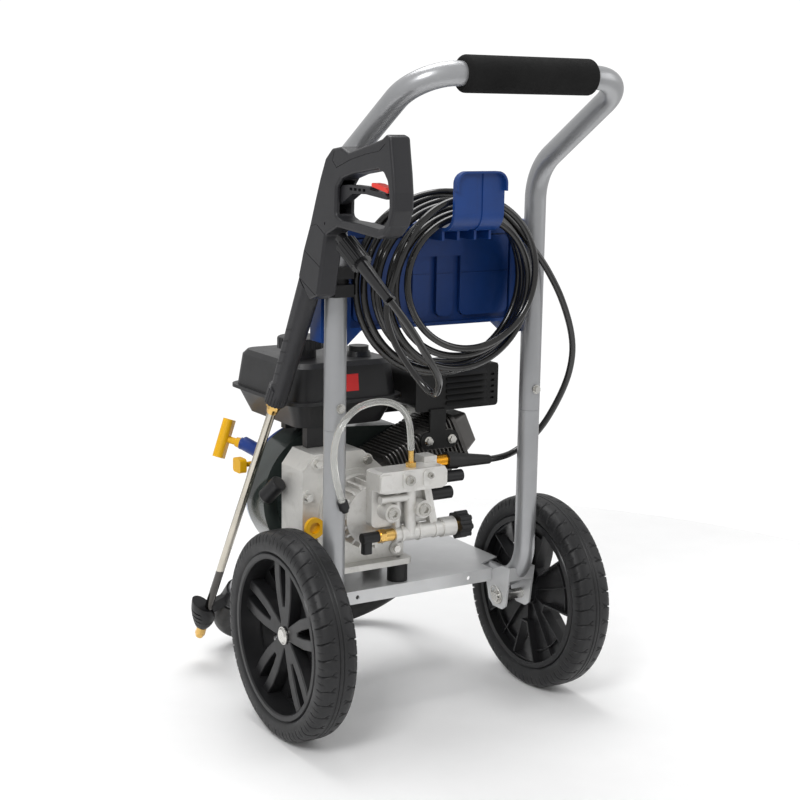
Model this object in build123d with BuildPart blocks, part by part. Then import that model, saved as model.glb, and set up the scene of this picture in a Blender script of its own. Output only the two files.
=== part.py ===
"""Petrol pressure washer on a two-wheel cart, as separate pieces, in millimetres.

+Z is up and the floor is Z = 0.  X runs along the axle, with the spray gun on the -X side.
-Y is the operator's side, where the handle and the pump are, and +Y is the front foot's side.
"""

import os
from math import atan2, cos, degrees, pi, radians, sin, tan

from build123d import *

os.makedirs("parts", exist_ok=True)

# ---------------------------------------------------------------- driving dimensions
AXLE_Y = -72.74           # axle line, behind the middle of the footprint
WHEEL_R = 152.5
TYRE_W = 57.5
TRACK = 440.8             # between the wheels' middles
RIM_R = 121.5             # edge of the rim, where the tyre's side begins
TUBE_R = 15.875
TUBE_WALL = 1.6
UPRIGHT_X = 168.5         # half the distance between the uprights
UPRIGHT_Y = -32.2         # the uprights, ahead of the axle
JOINT_Z = 453.7           # where the handle tube meets the lower frame
BOLT_Z = 486.6
PLATE_TOP = 194.0
PLATE_T = 2.0
PLATE_REAR = 17.0
PLATE_FRONT = 228.0
PLATE_HALF_W = 187.0
RAIL_Z = PLATE_TOP - PLATE_T - TUBE_R - 0.3
FOOT_AHEAD = 397.0
FOOT_R = 19.5
LEG_START = 238.0
HANDLE_BEND_Z = 812.0
GRIP_AHEAD = -234.0
GRIP_Z = 942.5
GRIP_LEN = 206.0
GRIP_R = 24.0
CRANK_X = -92.0
CRANK_Z = 315.0
COVER_FACE = 40.0         # pump face of the engine, ahead of the axle
CASE_BOTTOM = 221.0
LEAN = 25.0               # the cylinder's axis above the horizontal
CYL_AHEAD = 85.0          # the cylinder's axis, ahead of the axle
HOSE_D = 10.0
GUN_X = -208.0
GUN_T = 30.0
LIP_HALF = 142.9          # half the width of the plate's rear lip
MOUNT_PLACES = [(x, ahead) for x in (-164, -18) for ahead in (38, 113.5)]
AXLE_PIN_R = 7.9
BRACKET_INNER_X = 145.0
BRACKET_OUTER_X = 189.5
HUB_FACE_X = TRACK / 2 + 10.5   # outer end of the wheel's hub
SPOKES = 5
WEB_FACE = -8.0           # outer face of the wheel's web, from the wheel's middle
PANEL_FACE = -18.0
PANEL_BACK = 14.0
PANEL_TOP = 738.0
PANEL_LOW = 589.0
NOZZLE_STEM_R = 5.5
PANEL_FIELDS = [(-132, -47, 718), (-34.4, -6.3, 700), (6.3, 34.4, 700), (47, 132, 718)]
HOOK_LIP = -132.0
HOOK_HALF_W = 41.0
HOOK_ARM_TOP = 738.0
HOOK_TOP = 815.0
HOOK_T = 5.0
WAND_SLOPE = 0.622        # how far the wand goes ahead for each mm down
WAND_R = 6.4
TRIGGER_PIVOT = (-112, 786)
LOCK_PIVOT = (-203.5, 803.4)
LEG_ON_CLIP = (290.0, 124.7)
TANK = (-176.0, 4.0, 71.0, 280.0)     # x low, x high, ahead low, ahead high
TANK_SEAM = 471.5
TANK_LOW = 431.5
TANK_SHOULDER = 521.5
CAP_PLACE = (-126.0, 150.0)
FLANGE_T = 9.0            # base flange of the crankcase
CASE_FRONT = 110.0
CRANK_R = 11.0
CRANK_END = 0.0
BORE_R = 30.0
DIP_PLACE = (-166.0, COVER_FACE + 8, 296.0)
DIP_R = 8.0
CYL_HALF = 44.0           # half the fins' depth along Y
FIN_HALF = 41.0           # half the fins' height across the axis
BLOWER_R = 105.0
BLOWER_REAR = 132.0
BLOWER_FRONT = 190.0
RECOIL_FRONT = 236.0
TAP_PIVOT = (212.0, 356.0)
FLANGE_REAR = 40.6        # rear face of the exhaust flange
PUMP_REAR = -12.0
MANIFOLD_FACE = -52.0
INLET_Z = 289.0
INLET_AHEAD = -32.0
KNOB_X = 38.3
OUTLET = (11.0, -8.0, 383.0)


# ---------------------------------------------------------------- helpers
def at(x, ahead, z):
    """A point from its distance ahead of the axle line."""
    return (x, AXLE_Y + ahead, z)


ROPE_ROOT = at(-148, 212, 364)
ROPE_EYE = at(-164, 252, 376)
ROPE_OUT = at(-190, 283, 384)


def side(x):
    """Plane across X: sketch x is the distance ahead of the axle, sketch y is Z."""
    return Plane(origin=(x, AXLE_Y, 0), x_dir=(0, 1, 0), z_dir=(1, 0, 0))


def facing(ahead):
    """Plane across Y that faces the operator: sketch x is X, sketch y is Z."""
    return Plane(origin=(0, AXLE_Y + ahead, 0), x_dir=(1, 0, 0), z_dir=(0, -1, 0))


def level(z):
    """Level plane: sketch x is X, sketch y is the distance ahead of the axle."""
    return Plane(origin=(0, AXLE_Y, z))


def along(start, end):
    """Plane at start whose normal points to end."""
    return Plane(origin=start, z_dir=Vector(*end) - Vector(*start))


def distance(start, end):
    return (Vector(*end) - Vector(*start)).length


def save(piece, name):
    piece.part.label = name
    export_step(piece.part, f"parts/{name}.step")


# ---------------------------------------------------------------- frame
def tube_path(points, radii):
    with BuildLine() as path:
        FilletPolyline(*points, radius=radii)
    return path.wire()


def swept_tube(path, outer, inner=None):
    """A round tube or rod along a path of straight runs and tangent arcs."""
    with BuildPart() as tube:
        with BuildSketch(Plane(origin=path @ 0, z_dir=path % 0)):
            Circle(outer)
            if inner:
                Circle(inner, mode=Mode.SUBTRACT)
        sweep(path=path)
    return tube


def make_lower_frame():
    low = [(-UPRIGHT_X, UPRIGHT_Y, JOINT_Z), (-UPRIGHT_X, UPRIGHT_Y, RAIL_Z),
           (-UPRIGHT_X, LEG_START, RAIL_Z), (-UPRIGHT_X, FOOT_AHEAD, FOOT_R)]
    points = [at(*p) for p in low] + [at(-p[0], p[1], p[2]) for p in reversed(low)]
    path = tube_path(points, [66, 58, 112, 112, 58, 66])
    frame = swept_tube(path, TUBE_R, TUBE_R - TUBE_WALL)
    save(frame, "lower_frame")

    # rubber sleeve over the bottom of the loop
    leg = Vector(0, FOOT_AHEAD - LEG_START, FOOT_R - RAIL_Z).normalized()
    up_leg = 128
    ends = [(-UPRIGHT_X, FOOT_AHEAD - leg.Y * up_leg, FOOT_R - leg.Z * up_leg),
            (-UPRIGHT_X, FOOT_AHEAD, FOOT_R)]
    points = [at(*p) for p in ends] + [at(-p[0], p[1], p[2]) for p in reversed(ends)]
    foot = swept_tube(tube_path(points, [112, 112]), FOOT_R, TUBE_R + 0.05)
    save(foot, "front_foot")


def make_handle():
    low = [(-UPRIGHT_X, UPRIGHT_Y, JOINT_Z + 0.4), (-UPRIGHT_X, UPRIGHT_Y, HANDLE_BEND_Z),
           (-UPRIGHT_X, GRIP_AHEAD, GRIP_Z)]
    points = [at(*p) for p in low] + [at(-p[0], p[1], p[2]) for p in reversed(low)]
    path = tube_path(points, [78, 60, 60, 78])
    save(swept_tube(path, TUBE_R, TUBE_R - TUBE_WALL), "handle_tube")

    with BuildPart() as grip:
        with BuildSketch(Plane(origin=at(-GRIP_LEN / 2, GRIP_AHEAD, GRIP_Z), z_dir=(1, 0, 0))):
            Circle(GRIP_R)
        extrude(amount=GRIP_LEN)
        fillet(grip.edges().filter_by(GeomType.CIRCLE), 6)
        with BuildSketch(Plane(origin=at(-GRIP_LEN / 2, GRIP_AHEAD, GRIP_Z), z_dir=(1, 0, 0))):
            Circle(TUBE_R + 0.05)
        extrude(amount=GRIP_LEN, mode=Mode.SUBTRACT)
    save(grip, "handle_grip")


def make_plate():
    with BuildPart() as plate:
        with BuildSketch(level(PLATE_TOP)):
            with BuildLine():
                Polyline((-PLATE_HALF_W, PLATE_FRONT), (PLATE_HALF_W, PLATE_FRONT),
                         (PLATE_HALF_W, 66), (LIP_HALF, 46), (LIP_HALF, PLATE_REAR),
                         (-LIP_HALF, PLATE_REAR), (-LIP_HALF, 46), (-PLATE_HALF_W, 66), close=True)
            make_face()
        extrude(amount=-PLATE_T)
        # rear lip, turned down, with its two holes
        with BuildSketch(facing(PLATE_REAR)):
            with Locations((0, PLATE_TOP - 10)):
                RectangleRounded(2 * LIP_HALF, 20, 1.5)
            with Locations((-99.3, PLATE_TOP - 10), (99.3, PLATE_TOP - 10)):
                Circle(3.2, mode=Mode.SUBTRACT)
        extrude(amount=-PLATE_T)
        with BuildSketch(facing(PLATE_FRONT)):
            with Locations((0, PLATE_TOP - 8)):
                Rectangle(290, 16)
        extrude(amount=PLATE_T)
        # holes for the engine's rubber mounts
        with Locations(*[at(x, ahead, PLATE_TOP - PLATE_T / 2) for x, ahead in MOUNT_PLACES]):
            Cylinder(4.2, 6, mode=Mode.SUBTRACT)
    save(plate, "base_plate")


def make_brackets():
    """Two folded channels under the tube bends, which hold the axle pins."""
    bends = []
    for hand in (-1, 1):
        points = [at(hand * UPRIGHT_X, UPRIGHT_Y, 300), at(hand * UPRIGHT_X, UPRIGHT_Y, RAIL_Z),
                  at(hand * UPRIGHT_X, 120, RAIL_Z)]
        bends.append(swept_tube(tube_path(points, [66]), TUBE_R + 0.2).part)
    with BuildPart() as brackets:
        for hand in (-1, 1):
            for x in (BRACKET_INNER_X, BRACKET_OUTER_X):
                with BuildSketch(side(hand * x)):
                    with BuildLine():
                        Polyline((-30, 204), (-21, 142), (-12, 135), (12, 135), (24, 144),
                                 (34, 178), (30, 186), (-8, 204), close=True)
                    make_face()
                    with Locations((0, WHEEL_R)):
                        Circle(AXLE_PIN_R + 0.05, mode=Mode.SUBTRACT)
                extrude(amount=1.5, both=True)
            # the channel's web, behind the tube's bend
            with BuildSketch(side(hand * (BRACKET_INNER_X + BRACKET_OUTER_X) / 2)):
                with BuildLine():
                    Polyline((-30, 204), (-27, 183), (-23.5, 183), (-26.5, 204), close=True)
                make_face()
            extrude(amount=(BRACKET_OUTER_X - BRACKET_INNER_X) / 2, both=True)
        # the tube passes between the ears
        for bend in bends:
            add(bend, mode=Mode.SUBTRACT)
    save(brackets, "axle_brackets")

    with BuildPart() as pins:
        for hand in (-1, 1):
            with BuildSketch(Plane(origin=at(hand * 137, 0, WHEEL_R), z_dir=(hand, 0, 0))):
                Circle(AXLE_PIN_R)
            extrude(amount=HUB_FACE_X - 0.3 - 137)
    save(pins, "axle_pins")


def make_frame_fasteners():
    """Joint bolts, the axle pins' clips and washers, and the push caps on the hubs."""
    with BuildPart() as fasteners:
        # plug sleeves inside the two joints between handle and lower frame
        with BuildSketch(level(JOINT_Z - 45)):
            with Locations((-UPRIGHT_X, UPRIGHT_Y), (UPRIGHT_X, UPRIGHT_Y)):
                Circle(TUBE_R - TUBE_WALL - 0.1)
                Circle(TUBE_R - TUBE_WALL - 2.2, mode=Mode.SUBTRACT)
        extrude(amount=95)
        for hand in (-1, 1):
            joint = Plane(origin=at(hand * UPRIGHT_X, UPRIGHT_Y - TUBE_R - 0.6, BOLT_Z), z_dir=(0, -1, 0))
            with BuildSketch(joint):
                Circle(7)
            extrude(amount=1.2)
            with BuildSketch(joint.offset(1.2)):
                RegularPolygon(5.2, 6)
            extrude(amount=3.8)
            with BuildSketch(joint.offset(-2 * TUBE_R - 6)):
                Circle(2.9)
            extrude(amount=2 * TUBE_R + 6.5)
            with BuildSketch(Plane(origin=at(hand * 142.9, 0, WHEEL_R), z_dir=(-hand, 0, 0))):
                Circle(12)
                Circle(AXLE_PIN_R + 0.1, mode=Mode.SUBTRACT)
            extrude(amount=1.5)
            # ring clip through the pin's end
            with Locations(Location(at(hand * 139.2, 0, WHEEL_R + 6), (0, 78, 0))):
                Torus(12, 1.2)
            cap = Plane(origin=at(hand * (HUB_FACE_X + 0.5), 0, WHEEL_R), z_dir=(hand, 0, 0))
            with BuildSketch(cap):
                Circle(13)
            extrude(amount=2.2)
            with BuildSketch(cap.offset(2.1)):
                Circle(12)
            extrude(amount=2.6, taper=45)
    save(fasteners, "frame_fasteners")


# ---------------------------------------------------------------- wheels
WINDOW = [(50, 6), (108, 25), (108, -25), (50, -6)]
WINDOW_WALL = [(47, 8), (111, 29), (111, -29), (47, -8)]
SPOKE = [(8, 9), (30, 15), (58, 22), (86, 25), (112.5, 24),
         (112.5, -24), (86, -25), (58, -22), (30, -15), (8, -9)]
SPOKE_SLOT = [(44, 2.2), (60, 5.5), (86, 8), (120, 8), (120, -8), (86, -8), (60, -5.5), (44, -2.2)]


def wheel_plane(hand):
    return Plane(origin=at(hand * TRACK / 2, 0, WHEEL_R), x_dir=(0, 1, 0), z_dir=(hand, 0, 0))


def ring_profile(plane, corners):
    """Face from (radius, offset) corners, to be revolved about the plane's normal."""
    section = Plane(origin=plane.origin, x_dir=plane.x_dir, z_dir=plane.z_dir.cross(plane.x_dir))
    with BuildSketch(section) as profile:
        with BuildLine():
            Polyline(*[(radius, -offset) for radius, offset in corners], close=True)
        make_face()
    return profile.sketch


def make_petal():
    """One spoke of the wheel, lying along +X with its face up and its edges rounded."""
    with BuildPart() as petal:
        with BuildSketch():
            Polygon(*SPOKE, align=None)
            Polygon(*SPOKE_SLOT, align=None, mode=Mode.SUBTRACT)
        extrude(amount=-20)
        fillet(petal.faces().sort_by(Axis.Z)[-1].edges(), 2.2)
    return petal.part


def make_wheel(hand, name):
    plane = wheel_plane(hand)
    spin = Axis(plane.origin, plane.z_dir)
    half = TYRE_W / 2
    groove = 4.5
    corners = [(117.2, -22), (117.2, 22), (122, 22.3), (124, half - 2), (132, half),
               (142, half - 0.6), (148, half - 4), (151, half - 8.5), (152.2, 10)]
    # two close grooves round the middle of the tread
    for mid in (3, -3):
        corners += [(WHEEL_R, mid + 1.2), (WHEEL_R - groove, mid + 0.7),
                    (WHEEL_R - groove, mid - 0.7), (WHEEL_R, mid - 1.2)]
    corners += [(152.2, -10), (151, 8.5 - half), (148, 4 - half), (142, 0.6 - half), (132, -half),
                (124, 2 - half), (122, -22.3)]
    section = ring_profile(plane, corners)
    with BuildPart() as tyre:
        revolve(section, axis=spin, revolution_arc=360)
    save(tyre, name + "_tyre")

    barrel = ring_profile(plane, [
        (112, -26.5), (112, 25), (114, 27), (RIM_R - 1.5, 27), (RIM_R - 0.3, 25), (RIM_R - 0.3, 22.6),
        (117, 22.3), (117, -22.3), (RIM_R - 0.3, -22.6), (RIM_R - 0.3, -25), (RIM_R - 1.5, -26.5)])
    petal = make_petal()
    with BuildPart() as rim:
        revolve(barrel, axis=spin, revolution_arc=360)
        # web with its five windows
        with BuildSketch(plane.offset(WEB_FACE - 4)):
            Circle(113)
            with PolarLocations(0, SPOKES, start_angle=90 + 180 / SPOKES):
                Polygon(*WINDOW, align=None, mode=Mode.SUBTRACT)
        extrude(amount=4)
        # spokes: two arms each, with a slot between them, dished towards the hub
        for step in range(SPOKES):
            turn = 90 + 360 / SPOKES * step
            add(plane.location * Location((0, 0, 9.5), (0, 0, turn)) * Location((0, 0, 0), (0, -2.6, 0)) * petal)
        # hub
        with BuildSketch(plane.offset(-26.2)):
            Circle(19)
        extrude(amount=26.2 + 10)
        # ribs on the web's inner side
        with BuildSketch(plane.offset(WEB_FACE - 3.9)):
            for radius in (48, 72, 94):
                Circle(radius + 0.9)
                Circle(radius - 0.9, mode=Mode.SUBTRACT)
            with PolarLocations(63, 2 * SPOKES, start_angle=90):
                Rectangle(97, 1.8)
            with PolarLocations(0, SPOKES, start_angle=90 + 180 / SPOKES):
                Polygon(*WINDOW, align=None, mode=Mode.SUBTRACT)
            Circle(20)
        extrude(amount=-6)
        # walls round the windows, on the inner side
        with BuildSketch(plane.offset(WEB_FACE - 3.9)):
            with PolarLocations(0, SPOKES, start_angle=90 + 180 / SPOKES):
                Polygon(*WINDOW_WALL, align=None)
            with PolarLocations(0, SPOKES, start_angle=90 + 180 / SPOKES):
                Polygon(*WINDOW, align=None, mode=Mode.SUBTRACT)
        extrude(amount=-12)
        with BuildSketch(plane.offset(-30)):
            Circle(AXLE_PIN_R + 0.06)
        extrude(amount=60, mode=Mode.SUBTRACT)
    save(rim, name + "_rim")


# ---------------------------------------------------------------- hose panel and hook
def make_panel():
    with BuildPart() as panel:
        with BuildSketch(facing(PANEL_BACK)):
            with BuildLine():
                Polyline((-183.5, 576), (-150, 570), (-141, 570), (-119, PANEL_LOW), (119, PANEL_LOW),
                         (141, 570), (150, 570), (183.5, 576), (183.5, PANEL_TOP - 8), (176, PANEL_TOP),
                         (-176, PANEL_TOP), (-183.5, PANEL_TOP - 8), close=True)
            make_face()
        extrude(amount=PANEL_BACK - PANEL_FACE)
        # hollow back, so that it is a moulded shell with ribs
        with BuildSketch(facing(PANEL_BACK)):
            for x0, x1 in ((-138, -64), (-60, -2), (2, 60), (64, 138)):
                with Locations(((x0 + x1) / 2, 664)):
                    Rectangle(x1 - x0, 138)
        extrude(amount=PANEL_BACK - PANEL_FACE - 11, mode=Mode.SUBTRACT)
        # raised fields with deep upright grooves between them
        with BuildSketch(facing(PANEL_FACE)):
            with Locations((0, 657)):
                Rectangle(272, 126)
            for x0, x1, top in PANEL_FIELDS:
                with Locations(((x0 + x1) / 2, (602 + top) / 2)):
                    RectangleRounded(x1 - x0, top - 602, 11, mode=Mode.SUBTRACT)
        extrude(amount=-7, mode=Mode.SUBTRACT)
        # level seam across the fields
        with BuildSketch(facing(PANEL_FACE)):
            with Locations((0, 665)):
                Rectangle(262, 1.2)
        extrude(amount=-1, mode=Mode.SUBTRACT)
        # channels that clip round the uprights
        for hand in (-1, 1):
            with BuildSketch(level(560)):
                with Locations((hand * UPRIGHT_X, UPRIGHT_Y)):
                    Circle(TUBE_R + 0.15)
            extrude(amount=200, mode=Mode.SUBTRACT)
        # socket for the spray nozzle
        with Locations(at(120, -4, PANEL_TOP - 10)):
            Cylinder(NOZZLE_STEM_R + 0.08, 30, mode=Mode.SUBTRACT)
    save(panel, "hose_panel")


def make_spray_nozzle():
    """Spare spray nozzle that stands in the panel's top edge."""
    with BuildPart() as nozzle:
        with BuildSketch(level(PANEL_TOP - 22)):
            with Locations((120, -4)):
                Circle(NOZZLE_STEM_R)
        extrude(amount=32)
        with BuildSketch(level(PANEL_TOP + 0.3)):
            with Locations((120, -4)):
                Circle(8.5)
        extrude(amount=8)
        with BuildSketch(level(PANEL_TOP + 8.2)):
            with Locations((120, -4)):
                Circle(10.5)
        extrude(amount=5.5, taper=-12)
        with BuildSketch(level(PANEL_TOP + 14)):
            with Locations((120, -4)):
                Circle(2.2)
        extrude(amount=-40, mode=Mode.SUBTRACT)
    save(nozzle, "spray_nozzle")


def hook_strip(offset, half_w, thickness):
    """Strip along the hook's arm, round its bend and up its lip."""
    corner = (HOOK_LIP + offset, HOOK_ARM_TOP - HOOK_T + offset)
    bend = 26.5 - offset
    with BuildPart() as strip:
        with BuildSketch(side(-half_w)):
            Polygon((PANEL_FACE - 0.1, corner[1]), (PANEL_FACE - 0.1, corner[1] + thickness),
                    (corner[0] + thickness, corner[1] + thickness), (corner[0] + thickness, HOOK_TOP),
                    (corner[0], HOOK_TOP), corner, align=None)
        extrude(amount=2 * half_w)
        across = strip.edges().filter_by(Axis.X)
        inner = across.sort_by_distance(at(0, corner[0] + thickness, corner[1] + thickness))[0]
        fillet(inner, bend - thickness)
        across = strip.edges().filter_by(Axis.X)
        outer = across.sort_by_distance(at(0, *corner))[0]
        fillet(outer, bend)
    return strip.part


def make_hook():
    strip = hook_strip(0, HOOK_HALF_W, HOOK_T)
    channel = hook_strip(0, 5, 1.6)
    with BuildPart() as hook:
        add(strip)
        fillet(hook.edges().filter_by(Axis.Y).group_by(Axis.Z)[-1], 16)
        # groove down the lip and under the arm
        add(channel, mode=Mode.SUBTRACT)
        # flange rolled towards the operator round the lip's top corners
        with BuildSketch(facing(HOOK_LIP + 2)):
            with Locations((0, (HOOK_TOP + 724) / 2)):
                RectangleRounded(2 * HOOK_HALF_W + 2, HOOK_TOP - 724 + 2, 17)
                RectangleRounded(2 * HOOK_HALF_W - 4, HOOK_TOP - 724 - 4, 14, mode=Mode.SUBTRACT)
            with Locations((0, 745)):
                Rectangle(120, 88, mode=Mode.SUBTRACT)
        extrude(amount=9)
        # sides turned down under the arm, and a middle rib
        with BuildSketch(facing(PANEL_FACE - 0.1)):
            for x in (-HOOK_HALF_W + 2, -14, 14, HOOK_HALF_W - 2):
                with Locations((x, HOOK_ARM_TOP - 10)):
                    Rectangle(4, 16)
        extrude(amount=PANEL_FACE - HOOK_LIP - 30)
        # foot against the panel
        with BuildSketch(facing(PANEL_FACE - 0.1)):
            with Locations((0, 712)):
                RectangleRounded(96, 44, 8)
        extrude(amount=5)
    save(hook, "hose_hook")


# ---------------------------------------------------------------- spray gun and wand
# outline points are (ahead, z) in the gun's middle plane
GUN_OUTLINE = [(-23, 671), (-37, 708), (-56, 745), (-70, 778), (-83, 807), (-97, 833), (-114, 846),
               (-137, 849), (-156, 842), (-182, 848), (-213, 855), (-238, 861), (-249, 867),
               (-260, 864), (-264, 841), (-268, 820), (-271, 797), (-271, 775), (-262, 755),
               (-247, 742), (-232, 738), (-128, 745), (-99, 733), (-87, 687), (-78, 650), (-55, 642)]
HAND_HOLE = [(-126, 760), (-127, 796), (-139, 808), (-165, 815), (-230, 824), (-244, 820),
             (-253, 810), (-257, 796), (-258, 780), (-255, 765), (-245, 753), (-233, 750),
             (-180, 754), (-142, 755)]
# seams cut in the shell's outer face: the top cover, the side plate and its two joints
SEAMS = [[(-122, 843), (-117, 831), (-128, 822), (-166, 834), (-205, 842), (-234, 846), (-248, 855)],
         [(-57, 742), (-75, 745.5), (-106, 729)], [(-39, 709), (-88, 688)], [(-25, 671), (-76, 649)]]


def on_wand(z):
    return at(GUN_X, 94 + (445.4 - z) * WAND_SLOPE, z)


def seam_pieces():
    """Middle, length and slope of each straight run of the seams."""
    runs = []
    for seam in SEAMS:
        for (y0, z0), (y1, z1) in zip(seam, seam[1:]):
            length = ((y1 - y0) ** 2 + (z1 - z0) ** 2) ** 0.5
            runs.append(((y0 + y1) / 2, (z0 + z1) / 2, length, degrees(atan2(z1 - z0, y1 - y0))))
    return runs


def make_gun():
    with BuildSketch(side(GUN_X)) as outline:
        Polygon(*GUN_OUTLINE, align=None)
        fillet(outline.vertices(), 5)
    with BuildSketch(side(GUN_X)) as hole:
        Polygon(*HAND_HOLE, align=None)
        fillet(hole.vertices(), 7)
    for hand, name in ((-1, "gun_shell_left"), (1, "gun_shell_right")):
        with BuildPart() as shell:
            extrude(outline.sketch, amount=GUN_T / 2, dir=(hand, 0, 0))
            extrude(hole.sketch, amount=GUN_T, dir=(hand, 0, 0), mode=Mode.SUBTRACT)
            fillet(shell.faces().sort_by(Axis.X)[0 if hand < 0 else -1].edges(), 4)
            # room for the trigger's root and for the valve
            with BuildSketch(side(GUN_X)):
                with Locations((-112, 787)):
                    Rectangle(37, 50)
                with Locations((-134, 791)):
                    Rectangle(20, 30)
                with Locations((-65, 712)):
                    Rectangle(26, 66, rotation=22.9)
            extrude(amount=hand * 9, mode=Mode.SUBTRACT)
            # bore for the wand
            with BuildSketch(along(on_wand(690), on_wand(600))):
                Circle(WAND_R + 0.1)
            extrude(amount=100, mode=Mode.SUBTRACT)
            # seams and a screw hole in the outer face
            with BuildSketch(side(GUN_X + hand * GUN_T / 2)):
                for y, z, length, slope in seam_pieces():
                    with Locations((y, z)):
                        Rectangle(length + 0.7, 0.9, rotation=slope)
                with Locations((-98, 748)):
                    Circle(1.9)
            extrude(amount=-0.8 * hand, mode=Mode.SUBTRACT)
        save(shell, name)

    with BuildPart() as valve:
        with BuildSketch(side(GUN_X)):
            with Locations((-65, 712)):
                Rectangle(22, 62, rotation=22.9)
        extrude(amount=8.5, both=True)
        with BuildSketch(side(GUN_X)):
            with Locations(TRIGGER_PIVOT):
                Circle(2.5)
        extrude(amount=8.9, both=True)
    save(valve, "gun_valve")


def on_grip(z):
    """Middle of the fore-end, which runs from the shell down to the brass collar."""
    return at(GUN_X, 57.3 + (498 - z) * 0.543, z)


def make_wand():
    fore = along(on_grip(696), on_grip(492))
    fore_plane = Plane(origin=fore.origin, x_dir=(1, 0, 0), z_dir=fore.z_dir)
    fore_len = distance(on_grip(696), on_grip(492))
    ring = along(on_wand(503), on_wand(400))
    with BuildPart() as grip:
        with BuildSketch(fore_plane):
            RectangleRounded(30, 36, 13)
        with BuildSketch(fore_plane.offset(fore_len)):
            RectangleRounded(26, 27, 11)
        loft()
        # ends at the shell
        with BuildSketch(side(GUN_X)) as shell_outline:
            Polygon(*GUN_OUTLINE, align=None)
            offset(amount=0.3)
        extrude(amount=40, both=True, mode=Mode.SUBTRACT)
        # grip grooves on both sides
        for hand in (-1, 1):
            with BuildSketch(side(GUN_X + hand * 20)):
                for step in range(6):
                    z = 594 - 17 * step
                    with Locations((57.3 + (498 - z) * 0.543 + 1, z)):
                        Rectangle(24, 2, rotation=-7)
            extrude(amount=-7.8 * hand, mode=Mode.SUBTRACT)
        # knurled ring above the brass collar
        with BuildSketch(ring):
            Circle(16.3)
            with PolarLocations(16.6, 20):
                Circle(1.2, mode=Mode.SUBTRACT)
        extrude(amount=distance(on_wand(503), on_wand(480.2)))
        with BuildSketch(along(on_wand(770), on_wand(600))):
            Circle(WAND_R + 0.1)
        extrude(amount=400, mode=Mode.SUBTRACT)
    save(grip, "wand_grip")

    collar = along(on_wand(479.8), on_wand(400))
    length = distance(on_wand(479.8), on_wand(60))
    with BuildPart() as brass:
        with BuildSketch(collar):
            RegularPolygon(11.5, 6)
        extrude(amount=10)
        with BuildSketch(collar.offset(9.9)):
            Circle(10)
        extrude(amount=10, taper=12)
        with BuildSketch(collar.offset(-1)):
            Circle(WAND_R + 0.1)
        extrude(amount=24, mode=Mode.SUBTRACT)
        # spray tip at the wand's lower end
        with BuildSketch(collar.offset(length - 3.8)):
            Circle(8)
        extrude(amount=12)
        with BuildSketch(collar.offset(length + 8)):
            RegularPolygon(8.4, 6)
        extrude(amount=7)
        with BuildSketch(collar.offset(length + 14.9)):
            Circle(6.4)
        extrude(amount=4)
        with BuildSketch(collar.offset(length + 19.5)):
            Circle(2)
        extrude(amount=-12, mode=Mode.SUBTRACT)
    save(brass, "wand_brass")

    with BuildPart() as wand:
        with BuildSketch(along(on_wand(675), on_wand(60))):
            Circle(WAND_R)
        extrude(amount=distance(on_wand(675), on_wand(60)) - 4)
    save(wand, "wand_tube")

    # lower holder: a ribbed cup on a clip that grips the frame's front leg
    cup_top = along(on_wand(106), on_wand(60))
    outward = Vector(-0.85, 0.53, 0)
    down = cup_top.z_dir
    start = Vector(*on_wand(106))
    cup_rim = Plane(origin=start + outward * 12 - down * 4, x_dir=outward, z_dir=down + outward * 0.45)
    cup_waist = Plane(origin=start + outward * 6 + down * 16, x_dir=outward, z_dir=down + outward * 0.2)
    cup_foot = Plane(origin=start + outward * 1.5 + down * 46, x_dir=outward, z_dir=down)
    leg_dir = Vector(0, FOOT_AHEAD - LEG_START, FOOT_R - RAIL_Z).normalized()
    leg = Vector(*at(-UPRIGHT_X, *LEG_ON_CLIP))
    with BuildPart() as clip:
        # guard that widens upwards on the wand's outer side
        with BuildSketch(cup_rim):
            Ellipse(19, 14)
        with BuildSketch(cup_waist):
            Ellipse(20.5, 15.5)
        with BuildSketch(cup_foot):
            Ellipse(11.5, 11)
        loft()
        for step in range(4):
            with BuildSketch(cup_foot.offset(-9 - 9 * step)):
                Circle(30)
                Circle(13.2 + 1.1 * step, mode=Mode.SUBTRACT)
            extrude(amount=2.4, mode=Mode.SUBTRACT)
        with BuildSketch(along(on_wand(100), leg).offset(6)):
            Rectangle(16, 14)
        extrude(amount=distance(on_wand(100), leg) - 6)
        with BuildSketch(Plane(origin=leg - leg_dir * 14, z_dir=leg_dir)):
            Circle(TUBE_R + 3.4)
        extrude(amount=28)
        with BuildSketch(Plane(origin=leg - leg_dir * 50, x_dir=(1, 0, 0), z_dir=leg_dir)):
            Circle(TUBE_R + 0.15)
            with Locations((24, 0)):
                Rectangle(32, 60)
        extrude(amount=100, mode=Mode.SUBTRACT)
        # clear of the rubber foot's end
        with BuildSketch(Plane(origin=leg + leg_dir * 21.6, z_dir=leg_dir)):
            Circle(FOOT_R + 0.5)
        extrude(amount=60, mode=Mode.SUBTRACT)
        with BuildSketch(cup_top.offset(-20)):
            Circle(WAND_R + 0.15)
        extrude(amount=96, mode=Mode.SUBTRACT)
        with BuildSketch(cup_top.offset(44)):
            Circle(9)
        extrude(amount=20, mode=Mode.SUBTRACT)
    save(clip, "wand_clip")


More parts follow.
